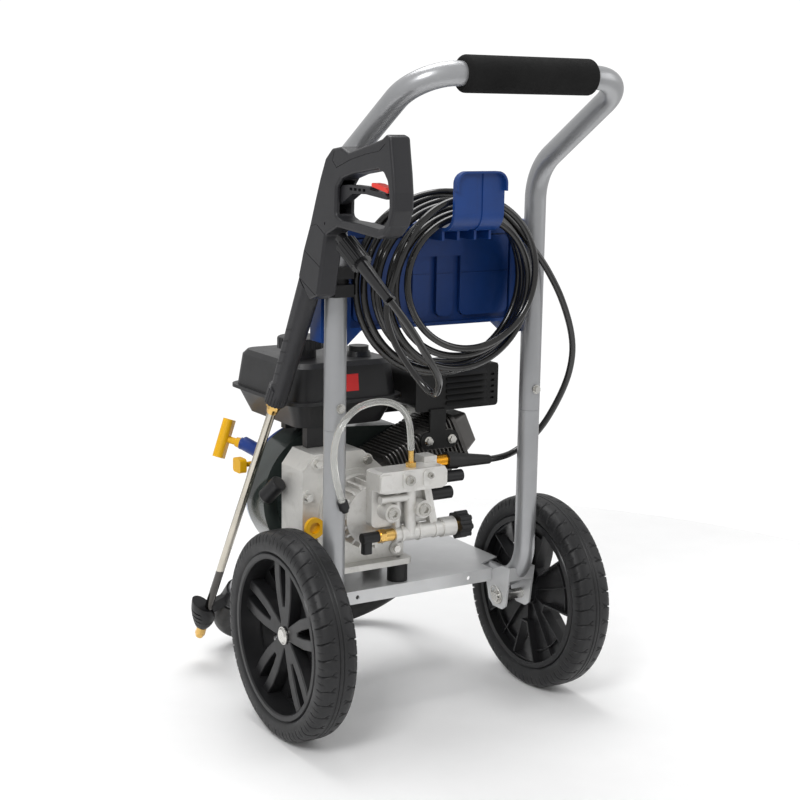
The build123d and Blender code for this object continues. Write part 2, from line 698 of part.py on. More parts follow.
def make_holster():
    """Two stacked clamp plates on the left upright, which the wand's grip drops into."""
    with BuildPart() as holster:
        for z in (643, 668):
            with BuildSketch(Plane(origin=at(-UPRIGHT_X, UPRIGHT_Y, z))):
                with BuildLine():
                    Polyline((-16, -26), (14, -26), (18, -8), (18, 8), (16, 13.6), (-14, 13.6),
                             (-24, 8), (-24, -10), close=True)
                make_face()
            extrude(amount=17)
        with BuildSketch(Plane(origin=at(-UPRIGHT_X, UPRIGHT_Y, 655))):
            Circle(TUBE_R + 2)
        extrude(amount=16)
        with BuildSketch(Plane(origin=at(-UPRIGHT_X, UPRIGHT_Y + 13.7, 630), z_dir=(0, 1, 0))):
            Rectangle(200, 200)
        extrude(amount=30, mode=Mode.SUBTRACT)
        with BuildSketch(Plane(origin=at(-UPRIGHT_X, UPRIGHT_Y, 630))):
            Circle(TUBE_R + 0.15)
        extrude(amount=80, mode=Mode.SUBTRACT)
    save(holster, "wand_holster")


def make_trigger():
    with BuildSketch(side(GUN_X)) as blade:
        with Locations(TRIGGER_PIVOT):
            Circle(12)
        Polygon((-112, 798), (-150, 801), (-200, 800.5), (-200, 797), (-236, 794), (-243, 790),
                (-240, 787), (-190, 791), (-156, 790), (-140, 782), (-122, 774), (-112, 774), align=None)
        with Locations(TRIGGER_PIVOT):
            Circle(2.56, mode=Mode.SUBTRACT)
        # slots through the blade
        for step in range(4):
            with Locations((-152 - 11 * step, 795.6)):
                Rectangle(7, 3.6, mode=Mode.SUBTRACT)
    with BuildPart() as trigger:
        extrude(blade.sketch, amount=7, dir=(1, 0, 0), both=True)
    save(trigger, "trigger")

    with BuildSketch(side(GUN_X)) as latch:
        Polygon((-203.5, 800.9), (-203.5, 805.9), (-216, 805.5), (-234, 801.5), (-241, 797),
                (-240, 794.8), (-234, 796), align=None)
        with Locations(LOCK_PIVOT):
            Circle(2.6)
    with BuildPart() as lock:
        extrude(latch.sketch, amount=5.5, dir=(1, 0, 0), both=True)
    save(lock, "trigger_lock")


# ---------------------------------------------------------------- fuel tank
TANK_X = (TANK[0] + TANK[1]) / 2
TANK_AHEAD = (TANK[2] + TANK[3]) / 2


def tank_section(z, grow, corner):
    with BuildSketch(level(z)) as section:
        with Locations((TANK_X, TANK_AHEAD)):
            RectangleRounded(TANK[1] - TANK[0] + 2 * grow, TANK[3] - TANK[2] + 2 * grow, corner)
    return section.sketch


def make_tank():
    wall = 2.5
    upper_out = [tank_section(TANK_SEAM, 1, 26), tank_section(TANK_SHOULDER, -5, 26)]
    upper_in = [tank_section(TANK_SEAM - 1, 1 - wall, 24), tank_section(TANK_SHOULDER - wall, -5 - wall, 24)]
    crown_out = [tank_section(TANK_SHOULDER - 0.1, -5, 26), tank_section(TANK_SHOULDER + 7, -11, 24)]
    flange = tank_section(TANK_SEAM, 8, 30)
    with BuildPart() as upper:
        loft(upper_out)
        loft(crown_out)
        extrude(flange, amount=2.4, dir=(0, 0, 1))
        loft(upper_in, mode=Mode.SUBTRACT)
        with BuildSketch(level(TANK_SHOULDER - 10)):
            with Locations(CAP_PLACE):
                Circle(24)
        extrude(amount=31)
        with BuildSketch(level(TANK_SHOULDER - 20)):
            with Locations(CAP_PLACE):
                Circle(19)
        extrude(amount=60, mode=Mode.SUBTRACT)
        # moulded bosses on the crown
        with BuildSketch(level(TANK_SHOULDER + 6)):
            with Locations((-42, 120)):
                Circle(20)
        extrude(amount=9, taper=20)
        with BuildSketch(level(TANK_SHOULDER + 14)):
            with Locations((-42, 120)):
                Circle(15)
        extrude(amount=9)
    save(upper, "fuel_tank_upper")

    lower_out = [tank_section(TANK_LOW, -16, 22), tank_section(TANK_SEAM - 0.1, 1, 26)]
    lower_in = [tank_section(TANK_LOW + wall, -16 - wall, 20), tank_section(TANK_SEAM + 1, 1 - wall, 24)]
    flange_low = tank_section(TANK_SEAM - 2.6, 8, 30)
    with BuildPart() as lower:
        loft(lower_out)
        extrude(flange_low, amount=2.5, dir=(0, 0, 1))
        loft(lower_in, mode=Mode.SUBTRACT)
        with Locations(at(-130, 96, 417)):
            Box(34, 14, 31)
        with Locations(at(-130, 165, 425.2)):
            Box(34, 14, 13.8)
    save(lower, "fuel_tank_lower")

    with BuildPart() as cap:
        with BuildSketch(level(TANK_SHOULDER + 21.4)):
            with Locations(CAP_PLACE):
                Circle(35)
        extrude(amount=17)
        fillet(cap.edges().group_by(Axis.Z)[-1], 3)
        grip_places = [(CAP_PLACE[0] + 36.5 * cos(radians(15 * i)), CAP_PLACE[1] + 36.5 * sin(radians(15 * i)))
                       for i in range(24)]
        with BuildSketch(level(TANK_SHOULDER + 20)):
            with Locations(*grip_places):
                Circle(2.6)
        extrude(amount=30, mode=Mode.SUBTRACT)
        # plug that turns inside the filler neck
        with BuildSketch(level(TANK_SHOULDER + 21.5)):
            with Locations(CAP_PLACE):
                Circle(18.6)
        extrude(amount=-14)
    save(cap, "fuel_cap")


# ---------------------------------------------------------------- engine
LEAN_DIR = Vector(cos(radians(LEAN)), 0, sin(radians(LEAN)))


def cylinder_plane(from_crank):
    """Plane across the cylinder's axis: sketch x is Y, sketch y is up and to the left."""
    origin = Vector(*at(CRANK_X, CYL_AHEAD, CRANK_Z)) + LEAN_DIR * from_crank
    return Plane(origin=origin, x_dir=(0, 1, 0), z_dir=LEAN_DIR)


CASE_OUTLINE = [(-178, CASE_BOTTOM + 8), (-178, 378), (-160, 401), (-78, 401), (-44, 372),
                (-10, 296), (-4, 258), (-4, CASE_BOTTOM + 8)]
COVER_BOLTS = [(-155, 388), (-171, 340), (-160, 262), (-72, 386), (-51, 362), (-20, 243), (-120, 393)]


def make_engine_case():
    with BuildPart() as case:
        with BuildSketch(facing(CASE_FRONT)):
            with BuildLine():
                Polyline(*CASE_OUTLINE, close=True)
            make_face()
        extrude(amount=CASE_FRONT - COVER_FACE - 14)
        # base flange with its four mounting ears
        with BuildSketch(level(CASE_BOTTOM)):
            with Locations((-91, 76)):
                RectangleRounded(186, 104, 10)
        extrude(amount=FLANGE_T)
        # crank chamber, open towards the cover
        with BuildSketch(facing(CASE_FRONT - 8)):
            with Locations((CRANK_X, CRANK_Z)):
                Circle(64)
            with Locations((CRANK_X, CRANK_Z - 62)):
                Rectangle(110, 44)
        extrude(amount=CASE_FRONT - 8 - COVER_FACE, mode=Mode.SUBTRACT)
        # mouth for the cylinder
        with BuildSketch(cylinder_plane(40)):
            Circle(36.5)
        extrude(amount=60, mode=Mode.SUBTRACT)
        # main bearing bore
        with BuildSketch(facing(CASE_FRONT + 2)):
            with Locations((CRANK_X, CRANK_Z)):
                Circle(CRANK_R + 0.06)
        extrude(amount=20, mode=Mode.SUBTRACT)
        with Locations(*[at(x, ahead, CASE_BOTTOM) for x, ahead in MOUNT_PLACES]):
            Cylinder(4.3, 40, mode=Mode.SUBTRACT)
    save(case, "crankcase")

    with BuildPart() as cover:
        with BuildSketch(facing(COVER_FACE + 13.8)):
            with BuildLine():
                Polyline(*CASE_OUTLINE, close=True)
            make_face()
        extrude(amount=9.8)
        with BuildSketch(facing(COVER_FACE + 4.2)):
            for x, z in COVER_BOLTS[:-1]:
                with Locations((x, z)):
                    Circle(9.5)
            with Locations((CRANK_X, CRANK_Z)):
                Circle(60)
            with BuildLine():
                Polyline((-150, 250), (-160, 300), (-60, 300), (-30, 250), close=True)
            make_face()
        extrude(amount=4.2)
        # clear of the base flange
        with BuildSketch(level(CASE_BOTTOM)):
            with Locations((-91, 76)):
                Rectangle(200, 110)
        extrude(amount=FLANGE_T + 0.2, mode=Mode.SUBTRACT)
        # bearing bore
        with BuildSketch(facing(COVER_FACE + 20)):
            with Locations((CRANK_X, CRANK_Z)):
                Circle(CRANK_R + 0.06)
        extrude(amount=40, mode=Mode.SUBTRACT)
        # filler for the dipstick
        with Locations(Location(at(*DIP_PLACE), (0, 0, 0))):
            Cylinder(DIP_R + 0.1, 30, rotation=(90, 0, 0), mode=Mode.SUBTRACT)
    save(cover, "side_cover")

    with BuildPart() as mounts:
        for x, ahead in MOUNT_PLACES:
            with BuildSketch(level(PLATE_TOP + 0.05)):
                with Locations((x, ahead)):
                    Circle(15.5)
            extrude(amount=CASE_BOTTOM - PLATE_TOP - 0.1)
        for x, ahead in MOUNT_PLACES:
            with BuildSketch(level(PLATE_TOP - PLATE_T)):
                with Locations((x, ahead)):
                    Circle(4.1)
            extrude(amount=CASE_BOTTOM + 7.5 - PLATE_TOP + PLATE_T)
    save(mounts, "engine_mounts")


def make_dipstick():
    with BuildPart() as dipstick:
        with BuildSketch(facing(COVER_FACE + 13)):
            with Locations((DIP_PLACE[0], DIP_PLACE[2])):
                Circle(DIP_R)
        extrude(amount=15)
        with BuildSketch(facing(COVER_FACE - 1.9)):
            with Locations((DIP_PLACE[0], DIP_PLACE[2])):
                Circle(12.5)
        extrude(amount=5)
        # ring tab to turn it by
        with BuildSketch(facing(COVER_FACE - 6.8)):
            with Locations((DIP_PLACE[0], DIP_PLACE[2])):
                Circle(15.5)
                Circle(8.5, mode=Mode.SUBTRACT)
        extrude(amount=6)
    save(dipstick, "dipstick")


def make_cylinder():
    with BuildPart() as cylinder:
        with BuildSketch(cylinder_plane(66)):
            Rectangle(66, 66)
        extrude(amount=138)
        for step in range(19):
            with BuildSketch(cylinder_plane(80 + step * 6.5)):
                RectangleRounded(2 * CYL_HALF, 2 * FIN_HALF, 8)
            extrude(amount=2.2)
        # exhaust boss on the operator's side
        with BuildSketch(facing(CYL_AHEAD - 20)):
            with Locations((54, 404)):
                RectangleRounded(60, 30, 10)
        extrude(amount=24.2)
        with BuildSketch(cylinder_plane(40)):
            Circle(BORE_R)
        extrude(amount=140, mode=Mode.SUBTRACT)
        with BuildSketch(facing(CASE_FRONT - 8)):
            with Locations((CRANK_X, CRANK_Z)):
                Circle(64)
        extrude(amount=60, mode=Mode.SUBTRACT)
        # clear of the crankcase's outside
        with BuildSketch(facing(CASE_FRONT + 0.2)):
            with BuildLine():
                Polyline(*CASE_OUTLINE, close=True)
            make_face()
        extrude(amount=CASE_FRONT - COVER_FACE + 1, mode=Mode.SUBTRACT)
    save(cylinder, "cylinder")

    with BuildPart() as cover:
        with BuildSketch(cylinder_plane(204.1)):
            RectangleRounded(84, 76, 10)
        extrude(amount=6)
        with BuildSketch(cylinder_plane(210)):
            RectangleRounded(78, 68, 12)
        extrude(amount=26, taper=18)
        with BuildSketch(cylinder_plane(203)):
            RectangleRounded(60, 50, 8)
        extrude(amount=20, mode=Mode.SUBTRACT)
    save(cover, "valve_cover")


def make_crankshaft():
    """Crankshaft from the pump's drive to the flywheel, with the crank throw's webs."""
    with BuildPart() as crank:
        with BuildSketch(facing(BLOWER_FRONT - 12)):
            with Locations((CRANK_X, CRANK_Z)):
                Circle(CRANK_R)
        extrude(amount=BLOWER_FRONT - 12 - CRANK_END)
        for ahead in (98, 74):
            with BuildSketch(facing(ahead)):
                with Locations((CRANK_X, CRANK_Z)):
                    Circle(42)
            extrude(amount=10)
    save(crank, "crankshaft")

    with BuildPart() as flywheel:
        with BuildSketch(facing(158)):
            with Locations((CRANK_X, CRANK_Z)):
                Circle(84)
                Circle(CRANK_R + 0.05, mode=Mode.SUBTRACT)
        extrude(amount=20)
        # cooling fan blades on the flywheel's front
        with BuildSketch(facing(176)):
            with Locations((CRANK_X, CRANK_Z)):
                with PolarLocations(62, 16):
                    Rectangle(36, 3, rotation=25)
        extrude(amount=18.1)
    save(flywheel, "flywheel")


def housing_outline(ahead, radius, horn):
    """Round housing with a shoulder towards the cylinder."""
    with BuildSketch(facing(ahead)) as outline:
        with Locations((CRANK_X, CRANK_Z)):
            Circle(radius)
            Polygon((0, radius), (horn, radius - 8), (horn + 22, 40), (radius - 8, -20), (0, -20), align=None)
    return outline.sketch


def make_blower():
    main = housing_outline(BLOWER_FRONT, BLOWER_R, 128)
    with BuildPart() as blower:
        extrude(main, amount=BLOWER_FRONT - BLOWER_REAR)
        # shroud that reaches back to the crankcase on the left
        with BuildSketch(facing(BLOWER_REAR + 0.1)):
            with Locations((CRANK_X, CRANK_Z)):
                Circle(84)
            with Locations((-20, CRANK_Z)):
                Rectangle(160, 200, mode=Mode.SUBTRACT)
            with Locations((CRANK_X, 225)):
                Rectangle(200, 32, mode=Mode.SUBTRACT)
        extrude(amount=BLOWER_REAR - CASE_FRONT - 0.2)
        with BuildSketch(facing(BLOWER_FRONT + 1)):
            with Locations((CRANK_X, CRANK_Z)):
                Circle(100)
        extrude(amount=BLOWER_FRONT - BLOWER_REAR - 3, mode=Mode.SUBTRACT)
        with BuildSketch(facing(140)):
            with Locations((CRANK_X, CRANK_Z)):
                Circle(CRANK_R + 3)
        extrude(amount=60, mode=Mode.SUBTRACT)
    save(blower, "blower_housing")

    with BuildPart() as recoil:
        with BuildSketch(facing(BLOWER_FRONT + 0.1)):
            with Locations((CRANK_X, CRANK_Z)):
                Circle(101)
        extrude(amount=-14)
        with BuildSketch(facing(BLOWER_FRONT + 14)):
            with Locations((CRANK_X, CRANK_Z)):
                Circle(95)
        extrude(amount=-(RECOIL_FRONT - BLOWER_FRONT - 14), taper=24)
        with BuildSketch(facing(BLOWER_FRONT - 1)):
            with Locations((CRANK_X, CRANK_Z)):
                Circle(76)
        extrude(amount=-(RECOIL_FRONT - BLOWER_FRONT - 6), mode=Mode.SUBTRACT)
        # air slots round the front
        with BuildSketch(facing(RECOIL_FRONT - 12)):
            with Locations((CRANK_X, CRANK_Z)):
                with PolarLocations(60, 18):
                    RectangleRounded(24, 5, 2)
        extrude(amount=-20, mode=Mode.SUBTRACT)
        # post that carries the starter reel
        with BuildSketch(facing(RECOIL_FRONT - 6)):
            with Locations((CRANK_X, CRANK_Z)):
                Circle(6)
        extrude(amount=26)
        # seat of the fuel lever's pin
        with BuildSketch(Plane(origin=at(-210, *TAP_PIVOT), z_dir=(1, 0, 0))):
            Circle(4.06)
        extrude(amount=41, mode=Mode.SUBTRACT)
        # rope guide
        with BuildSketch(along(ROPE_ROOT, ROPE_EYE)):
            Circle(11)
        extrude(amount=distance(ROPE_ROOT, ROPE_EYE) + 8)
        with BuildSketch(along(ROPE_EYE, ROPE_OUT)):
            Circle(9.5)
        extrude(amount=12)
        with BuildSketch(along(ROPE_EYE, ROPE_OUT)):
            Circle(3.2)
        extrude(amount=60, both=True, mode=Mode.SUBTRACT)
    save(recoil, "recoil_cover")

    with BuildPart() as reel:
        with BuildSketch(facing(RECOIL_FRONT - 9)):
            with Locations((CRANK_X, CRANK_Z)):
                Circle(40)
                Circle(6.06, mode=Mode.SUBTRACT)
        extrude(amount=16)
        with BuildSketch(facing(RECOIL_FRONT - 13)):
            with Locations((CRANK_X, CRANK_Z)):
                Circle(44)
                Circle(36, mode=Mode.SUBTRACT)
        extrude(amount=8, mode=Mode.SUBTRACT)
    save(reel, "starter_reel")


def make_pull_handle():
    pull = along(ROPE_EYE, ROPE_OUT)
    reach = distance(ROPE_EYE, ROPE_OUT)
    bar = Vector(-20, -2, -57).normalized()
    with BuildPart() as handle:
        with BuildSketch(pull.offset(12.4)):
            Circle(8.5)
        with BuildSketch(pull.offset(20)):
            Circle(7.5)
        loft()
        with BuildSketch(pull.offset(19.9)):
            Circle(5.5)
        extrude(amount=reach - 22)
        middle = Vector(*ROPE_OUT)
        with BuildSketch(Plane(origin=middle - bar * 31, x_dir=pull.z_dir, z_dir=bar)):
            RectangleRounded(17, 25, 8)
        extrude(amount=62)
        with BuildSketch(pull.offset(-20)):
            Circle(2)
        extrude(amount=34)
    save(handle, "pull_handle")


def make_muffler():
    with BuildPart() as muffler:
        with BuildSketch(facing(132)):
            with Locations((87, 482)):
                RectangleRounded(144, 64, 16)
        extrude(amount=132 - 44)
        fillet(muffler.edges().filter_by(Axis.X), 3)
    save(muffler, "muffler")

    with BuildPart() as shield:
        with BuildSketch(facing(43.7)):
            with Locations((87, 482)):
                RectangleRounded(150, 67, 6)
        extrude(amount=3)
        # wrap over the right end
        with BuildSketch(facing(120)):
            with Locations((161, 482)):
                Rectangle(2.4, 64)
        extrude(amount=120 - 43)
        # louvres
        for step in range(6):
            with BuildSketch(side(66)):
                Polygon((40.8, 458 + 9.2 * step), (35.5, 455.5 + 9.2 * step),
                        (40.8, 462.5 + 9.2 * step), align=None)
            extrude(amount=72)
        with BuildSketch(facing(50)):
            for step in range(5):
                with Locations((151, 461 + 9.2 * step)):
                    RectangleRounded(7, 3.6, 1.2)
        extrude(amount=14, mode=Mode.SUBTRACT)
    save(shield, "heat_shield")

    with BuildPart() as flange:
        with BuildSketch(facing(FLANGE_REAR)):
            with Locations((54, 404)):
                SlotCenterToCenter(42, 26)
            with Locations((50, 430)):
                Rectangle(28, 44)
        extrude(amount=4)
    save(flange, "exhaust_flange")


def make_engine_bolts():
    with BuildPart() as bolts:
        for x, z in COVER_BOLTS[:-1]:
            with BuildSketch(facing(COVER_FACE - 0.1)):
                with Locations((x, z)):
                    Circle(7.4)
            extrude(amount=1.4)
            with BuildSketch(facing(COVER_FACE - 1.4)):
                with Locations((x, z)):
                    RegularPolygon(6, 6)
            extrude(amount=4.6)
        for x in (33, 75):
            with BuildSketch(facing(FLANGE_REAR - 4.1)):
                with Locations((x, 404)):
                    Circle(7)
            extrude(amount=1.2)
            with BuildSketch(facing(FLANGE_REAR - 5.2)):
                with Locations((x, 404)):
                    RegularPolygon(5.8, 6)
            extrude(amount=5)
    save(bolts, "engine_bolts")


def make_intake():
    with BuildPart() as carburettor:
        with BuildSketch(facing(168)):
            with Locations((90, 420)):
                RectangleRounded(40, 40, 6)
        extrude(amount=38)
        with Locations(at(90, 150, 392)):
            Cylinder(17, 28)
    save(carburettor, "carburettor")
    with BuildPart() as filter_box:
        with BuildSketch(facing(238)):
            with Locations((76, 462)):
                RectangleRounded(118, 74, 16)
        extrude(amount=69.8)
        fillet(filter_box.edges().group_by(Axis.Y)[-1], 10)
    save(filter_box, "air_filter")


def make_small_controls():
    # black cylinder of the low-oil unit on the blower's shoulder
    with BuildPart() as unit:
        axis = along(at(-191, 92, 354), at(-203, 118, 325))
        with BuildSketch(axis):
            Circle(12.5)
        extrude(amount=38)
        fillet(unit.edges().filter_by(GeomType.CIRCLE), 3)
    save(unit, "oil_alert_unit")

    # fuel tap's lever, on a pin in the recoil cover's rim
    with BuildPart() as tap:
        with BuildSketch(Plane(origin=at(-191.8, *TAP_PIVOT), z_dir=(-1, 0, 0))):
            RectangleRounded(22, 26, 5)
        extrude(amount=11)
        with BuildSketch(Plane(origin=at(-191.9, *TAP_PIVOT), z_dir=(1, 0, 0))):
            Circle(4)
        extrude(amount=21)
    save(tap, "fuel_lever")


# ---------------------------------------------------------------- pump
def make_pump():
    with BuildPart() as pump:
        with BuildSketch(facing(COVER_FACE - 0.1)):
            with Locations((CRANK_X, CRANK_Z)):
                Circle(52)
        extrude(amount=11.9)
        with BuildSketch(facing(COVER_FACE - 11.9)):
            with Locations((CRANK_X, CRANK_Z)):
                Circle(44)
        extrude(amount=COVER_FACE - 11.9 - PUMP_REAR - 0.1)
        # stiffening ribs along the body
        with BuildSketch(facing(COVER_FACE - 11.9)):
            with Locations((CRANK_X, CRANK_Z)):
                with PolarLocations(46, 22):
                    Rectangle(9, 3.2)
        extrude(amount=COVER_FACE - 11.9 - PUMP_REAR - 2)
        with BuildSketch(facing(COVER_FACE)):
            with Locations((CRANK_X, CRANK_Z)):
                Circle(CRANK_R + 0.06)
        extrude(amount=COVER_FACE - CRANK_END + 3, mode=Mode.SUBTRACT)
        with BuildSketch(facing(COVER_FACE)):
            with Locations((CRANK_X, CRANK_Z)):
                Circle(36)
        extrude(amount=26, mode=Mode.SUBTRACT)
    save(pump, "pump_body")

    with BuildPart() as manifold:
        # back plate
        with BuildSketch(facing(PUMP_REAR)):
            with Locations((-53.5, 332)):
                RectangleRounded(101, 62, 8)
        extrude(amount=16)
        # upper gallery, with its stepped ends
        with BuildSketch(facing(PUMP_REAR)):
            Polygon((-104, 358), (-104, 384), (-98, 387), (6, 387), (11, 380), (11, 359), (2, 355),
                    (-92, 355), align=None)
        extrude(amount=PUMP_REAR - MANIFOLD_FACE - 2)
        with BuildSketch(facing(MANIFOLD_FACE + 2.1)):
            with Locations((-92, 371), (-54.5, 372), (-20, 372)):
                RectangleRounded(22, 24, 5)
        extrude(amount=2.1)
        # two valve bosses and the pipes between them
        with BuildSketch(facing(PUMP_REAR - 10)):
            with Locations((-82, 326), (-29, 326)):
                Circle(13)
        extrude(amount=PUMP_REAR - 10 - MANIFOLD_FACE)
        with BuildSketch(level(286)):
            with Locations((-44, -36)):
                Circle(9)
            with Locations((-64, -32)):
                Circle(5.5)
        extrude(amount=72)
        with BuildSketch(Plane(origin=at(-96, -38, 344), z_dir=(1, 0, 0))):
            Circle(6)
        extrude(amount=52)
        # slanting strut at the right-hand end
        with BuildSketch(facing(-26)):
            Polygon((-22, 357), (-10, 357), (4, 296), (-8, 296), align=None)
        extrude(amount=12)
        with Locations(at(0, -8, 383)):
            Box(22, 26, 26)
        # inlet tube under the manifold
        with BuildSketch(Plane(origin=at(-70, INLET_AHEAD, INLET_Z), z_dir=(1, 0, 0))):
            Circle(12)
        extrude(amount=104)
        with BuildSketch(Plane(origin=at(12, INLET_AHEAD, INLET_Z), z_dir=(1, 0, 0))):
            Circle(14.5)
        extrude(amount=22)
        # raised bands on the inlet tube
        for x in (-60, -30, -2):
            with BuildSketch(Plane(origin=at(x, INLET_AHEAD, INLET_Z), z_dir=(1, 0, 0))):
                Circle(13.6)
            extrude(amount=4)
        with BuildSketch(Plane(origin=at(34, INLET_AHEAD, INLET_Z), z_dir=(1, 0, 0))):
            Circle(6)
        extrude(amount=-90, mode=Mode.SUBTRACT)
    save(manifold, "pump_manifold")

    with BuildPart() as brass:
        # socket plugs in the valve bosses and in the gallery
        for x, z, radius in ((-54.5, 372, 7.5), (-82, 326, 9.5), (-29, 326, 9.5), (-20, 376, 4.5)):
            with BuildSketch(facing(MANIFOLD_FACE - 0.05)):
                with Locations((x, z)):
                    Circle(radius)
            extrude(amount=4.2)
            with BuildSketch(facing(MANIFOLD_FACE - 4.3)):
                with Locations((x, z)):
                    RegularPolygon(radius * 0.55, 6)
            extrude(amount=-3.2, mode=Mode.SUBTRACT)
        # swivel ring behind the inlet knob
        with BuildSketch(Plane(origin=at(34.1, INLET_AHEAD, INLET_Z), z_dir=(1, 0, 0))):
            Circle(11)
            Circle(6, mode=Mode.SUBTRACT)
        extrude(amount=8.9)
        # elbow to the thermal valve
        with BuildSketch(Plane(origin=at(-96, INLET_AHEAD, INLET_Z), z_dir=(1, 0, 0))):
            Circle(9)
        extrude(amount=25.9)
        with BuildSketch(Plane(origin=at(-94, INLET_AHEAD, INLET_Z), z_dir=(1, 0, 0))):
            RegularPolygon(10.4, 6)
        extrude(amount=9)
        # outlet sleeve
        with BuildSketch(Plane(origin=at(OUTLET[0] + 0.1, OUTLET[1], OUTLET[2]), z_dir=(1, 0, 0))):
            Circle(10)
        extrude(amount=24)
        # barb for the detergent hose
        with BuildSketch(level(387.1)):
            with Locations((-41, INLET_AHEAD)):
                RegularPolygon(8.5, 6)
        extrude(amount=7)
        with BuildSketch(level(394)):
            with Locations((-41, INLET_AHEAD)):
                Circle(4)
        extrude(amount=17)
    save(brass, "pump_fittings")

    knob = Plane(origin=at(KNOB_X, INLET_AHEAD, INLET_Z), z_dir=(1, 0, 0))
    with BuildPart() as inlet:
        with BuildSketch(knob):
            Circle(17.5)
            with PolarLocations(16.5, 8):
                Circle(4.4)
            Circle(12.7, mode=Mode.SUBTRACT)
        extrude(amount=20)
        with BuildSketch(knob):
            Circle(13)
            Circle(11.3, mode=Mode.SUBTRACT)
        extrude(amount=5)
    save(inlet, "inlet_knob")

    with BuildPart() as controls:
        # unloader valve, pressure switch and its cap
        with BuildSketch(Plane(origin=at(11.1, -18, 361), z_dir=(1, 0, 0))):
            Circle(8.8)
        extrude(amount=46)
        with BuildSketch(Plane(origin=at(-2.2, -24, 339), z_dir=(1, 0, 0))):
            Circle(9.5)
        extrude(amount=36)
        # thermal valve
        with BuildSketch(Plane(origin=at(-122, INLET_AHEAD, INLET_Z), z_dir=(1, 0, 0))):
            Circle(8)
        extrude(amount=25.9)
        with BuildSketch(level(266)):
            with Locations((-114, INLET_AHEAD)):
                RectangleRounded(15, 12, 4)
        extrude(amount=26)
    save(controls, "pump_valves")


# ---------------------------------------------------------------- hoses
GUN_NUT = at(-206, -112, 730)
GUN_STEM = at(-190, -212, 657)
GUN_HOSE = [(-190, -212, 657), (-166, -225, 622), (-141, -228, 581), (-113, -214, 550),
            (-101, -190, 529), (-92, -168, 519), (-97, -146, 530), (-116, -128, 564),
            (-128, -114, 595), (-134, -104, 636)]
PUMP_HOSE = [(112, -10, 377.3), (140, -6, 376), (176, 0, 384), (211, -6, 412), (235, -20, 462),
             (246, -32, 508), (240, -44, 557), (205, -60, 620), (175, -60, 667), (148, -62, 697),
             (120, -70, 735)]
SIPHON_HOSE = [(-41, -32, 412), (-43, -33, 440), (-50, -36, 463), (-68, -41, 481), (-96, -47, 491),
               (-125, -53, 492), (-152, -58, 486), (-177, -61, 464), (-187, -62, 432),
               (-184, -61, 398), (-176, -59, 372), (-170, -58, 356)]


def corner_radii(points):
    """Radius at each corner that uses 0.45 of its shorter run."""
    radii = []
    for before, corner, after in zip(points, points[1:], points[2:]):
        run_in = Vector(*corner) - Vector(*before)
        run_out = Vector(*after) - Vector(*corner)
        turn = radians(run_in.get_angle(run_out))
        radii.append(0.45 * min(run_in.length, run_out.length) / tan(turn / 2))
    return radii


def make_cord(route, name):
    points = [at(*p) for p in route]
    radii = corner_radii(points)
    path = tube_path(points, radii)
    hose = swept_tube(path, HOSE_D / 2)
    ratio = hose.part.volume / (pi * (HOSE_D / 2) ** 2 * path.length)
    print(name, "length", round(path.length, 1), "volume ratio", round(ratio, 4))
    print("  radii", [round(r, 1) for r in radii])
    save(hose, name)


def make_hoses():
    make_cord(GUN_HOSE, "gun_hose")
    make_cord(PUMP_HOSE, "pump_hose")
    make_cord(SIPHON_HOSE, "siphon_hose")

    # the wound hose on the hook, as one solid
    with BuildPart() as coil:
        with BuildSketch(facing(-30)):
            with Locations((0, 658)):
                Ellipse(150, 129)
            with Locations((12, 661)):
                Ellipse(78, 76, mode=Mode.SUBTRACT)
            with Locations((0, 702)):
                RectangleRounded(2 * HOOK_HALF_W + 6, 89, 12, mode=Mode.SUBTRACT)
        extrude(amount=88)
        chamfer(coil.faces().sort_by(Axis.Y)[0].edges(), 5)
        chamfer(coil.faces().sort_by(Axis.Y)[-1].edges(), 5)
    save(coil, "hose_coil")

    stem = along(GUN_NUT, GUN_STEM)
    reach = distance(GUN_NUT, GUN_STEM)
    with BuildPart() as fitting:
        with BuildSketch(stem):
            Circle(9)
        extrude(amount=14)
        with BuildSketch(stem.offset(13)):
            Circle(15)
            with PolarLocations(15.3, 18):
                Circle(1.7, mode=Mode.SUBTRACT)
        extrude(amount=40)
        with BuildSketch(stem.offset(52.9)):
            Circle(9.5)
        with BuildSketch(stem.offset(reach - 5)):
            Circle(7)
        loft()
        with BuildSketch(stem.offset(reach - 5.1)):
            Circle(8)
        extrude(amount=5)
    save(fitting, "gun_hose_fitting")

    boot_start = at(OUTLET[0] + 24.3, OUTLET[1], OUTLET[2])
    boot_end = at(*PUMP_HOSE[0])
    with BuildPart() as boot:
        with BuildSketch(along(boot_start, boot_end)):
            Circle(13)
        extrude(amount=18)
        with BuildSketch(along(boot_start, boot_end).offset(17.9)):
            Circle(11.5)
        with BuildSketch(along(boot_end, at(*PUMP_HOSE[1]))):
            Circle(7)
        loft()
    save(boot, "hose_boot")

    end = at(*SIPHON_HOSE[-1])
    before = at(*SIPHON_HOSE[-2])
    with BuildPart() as strainer:
        with BuildSketch(Plane(origin=end, z_dir=Vector(*end) - Vector(*before)).offset(0.1)):
            Circle(7.5)
        extrude(amount=12)
        with BuildSketch(Plane(origin=end, z_dir=Vector(*end) - Vector(*before)).offset(12)):
            Circle(6)
        extrude(amount=5, taper=15)
    save(strainer, "siphon_strainer")


# ---------------------------------------------------------------- build every piece
make_lower_frame()
make_handle()
make_plate()
make_brackets()
make_frame_fasteners()
make_wheel(-1, "left")
make_wheel(1, "right")
make_panel()
make_spray_nozzle()
make_hook()
make_gun()
make_wand()
make_holster()
make_trigger()
make_tank()
make_engine_case()
make_dipstick()
make_cylinder()
make_crankshaft()
make_blower()
make_pull_handle()
make_muffler()
make_engine_bolts()
make_intake()
make_small_controls()
make_pump()
make_hoses()
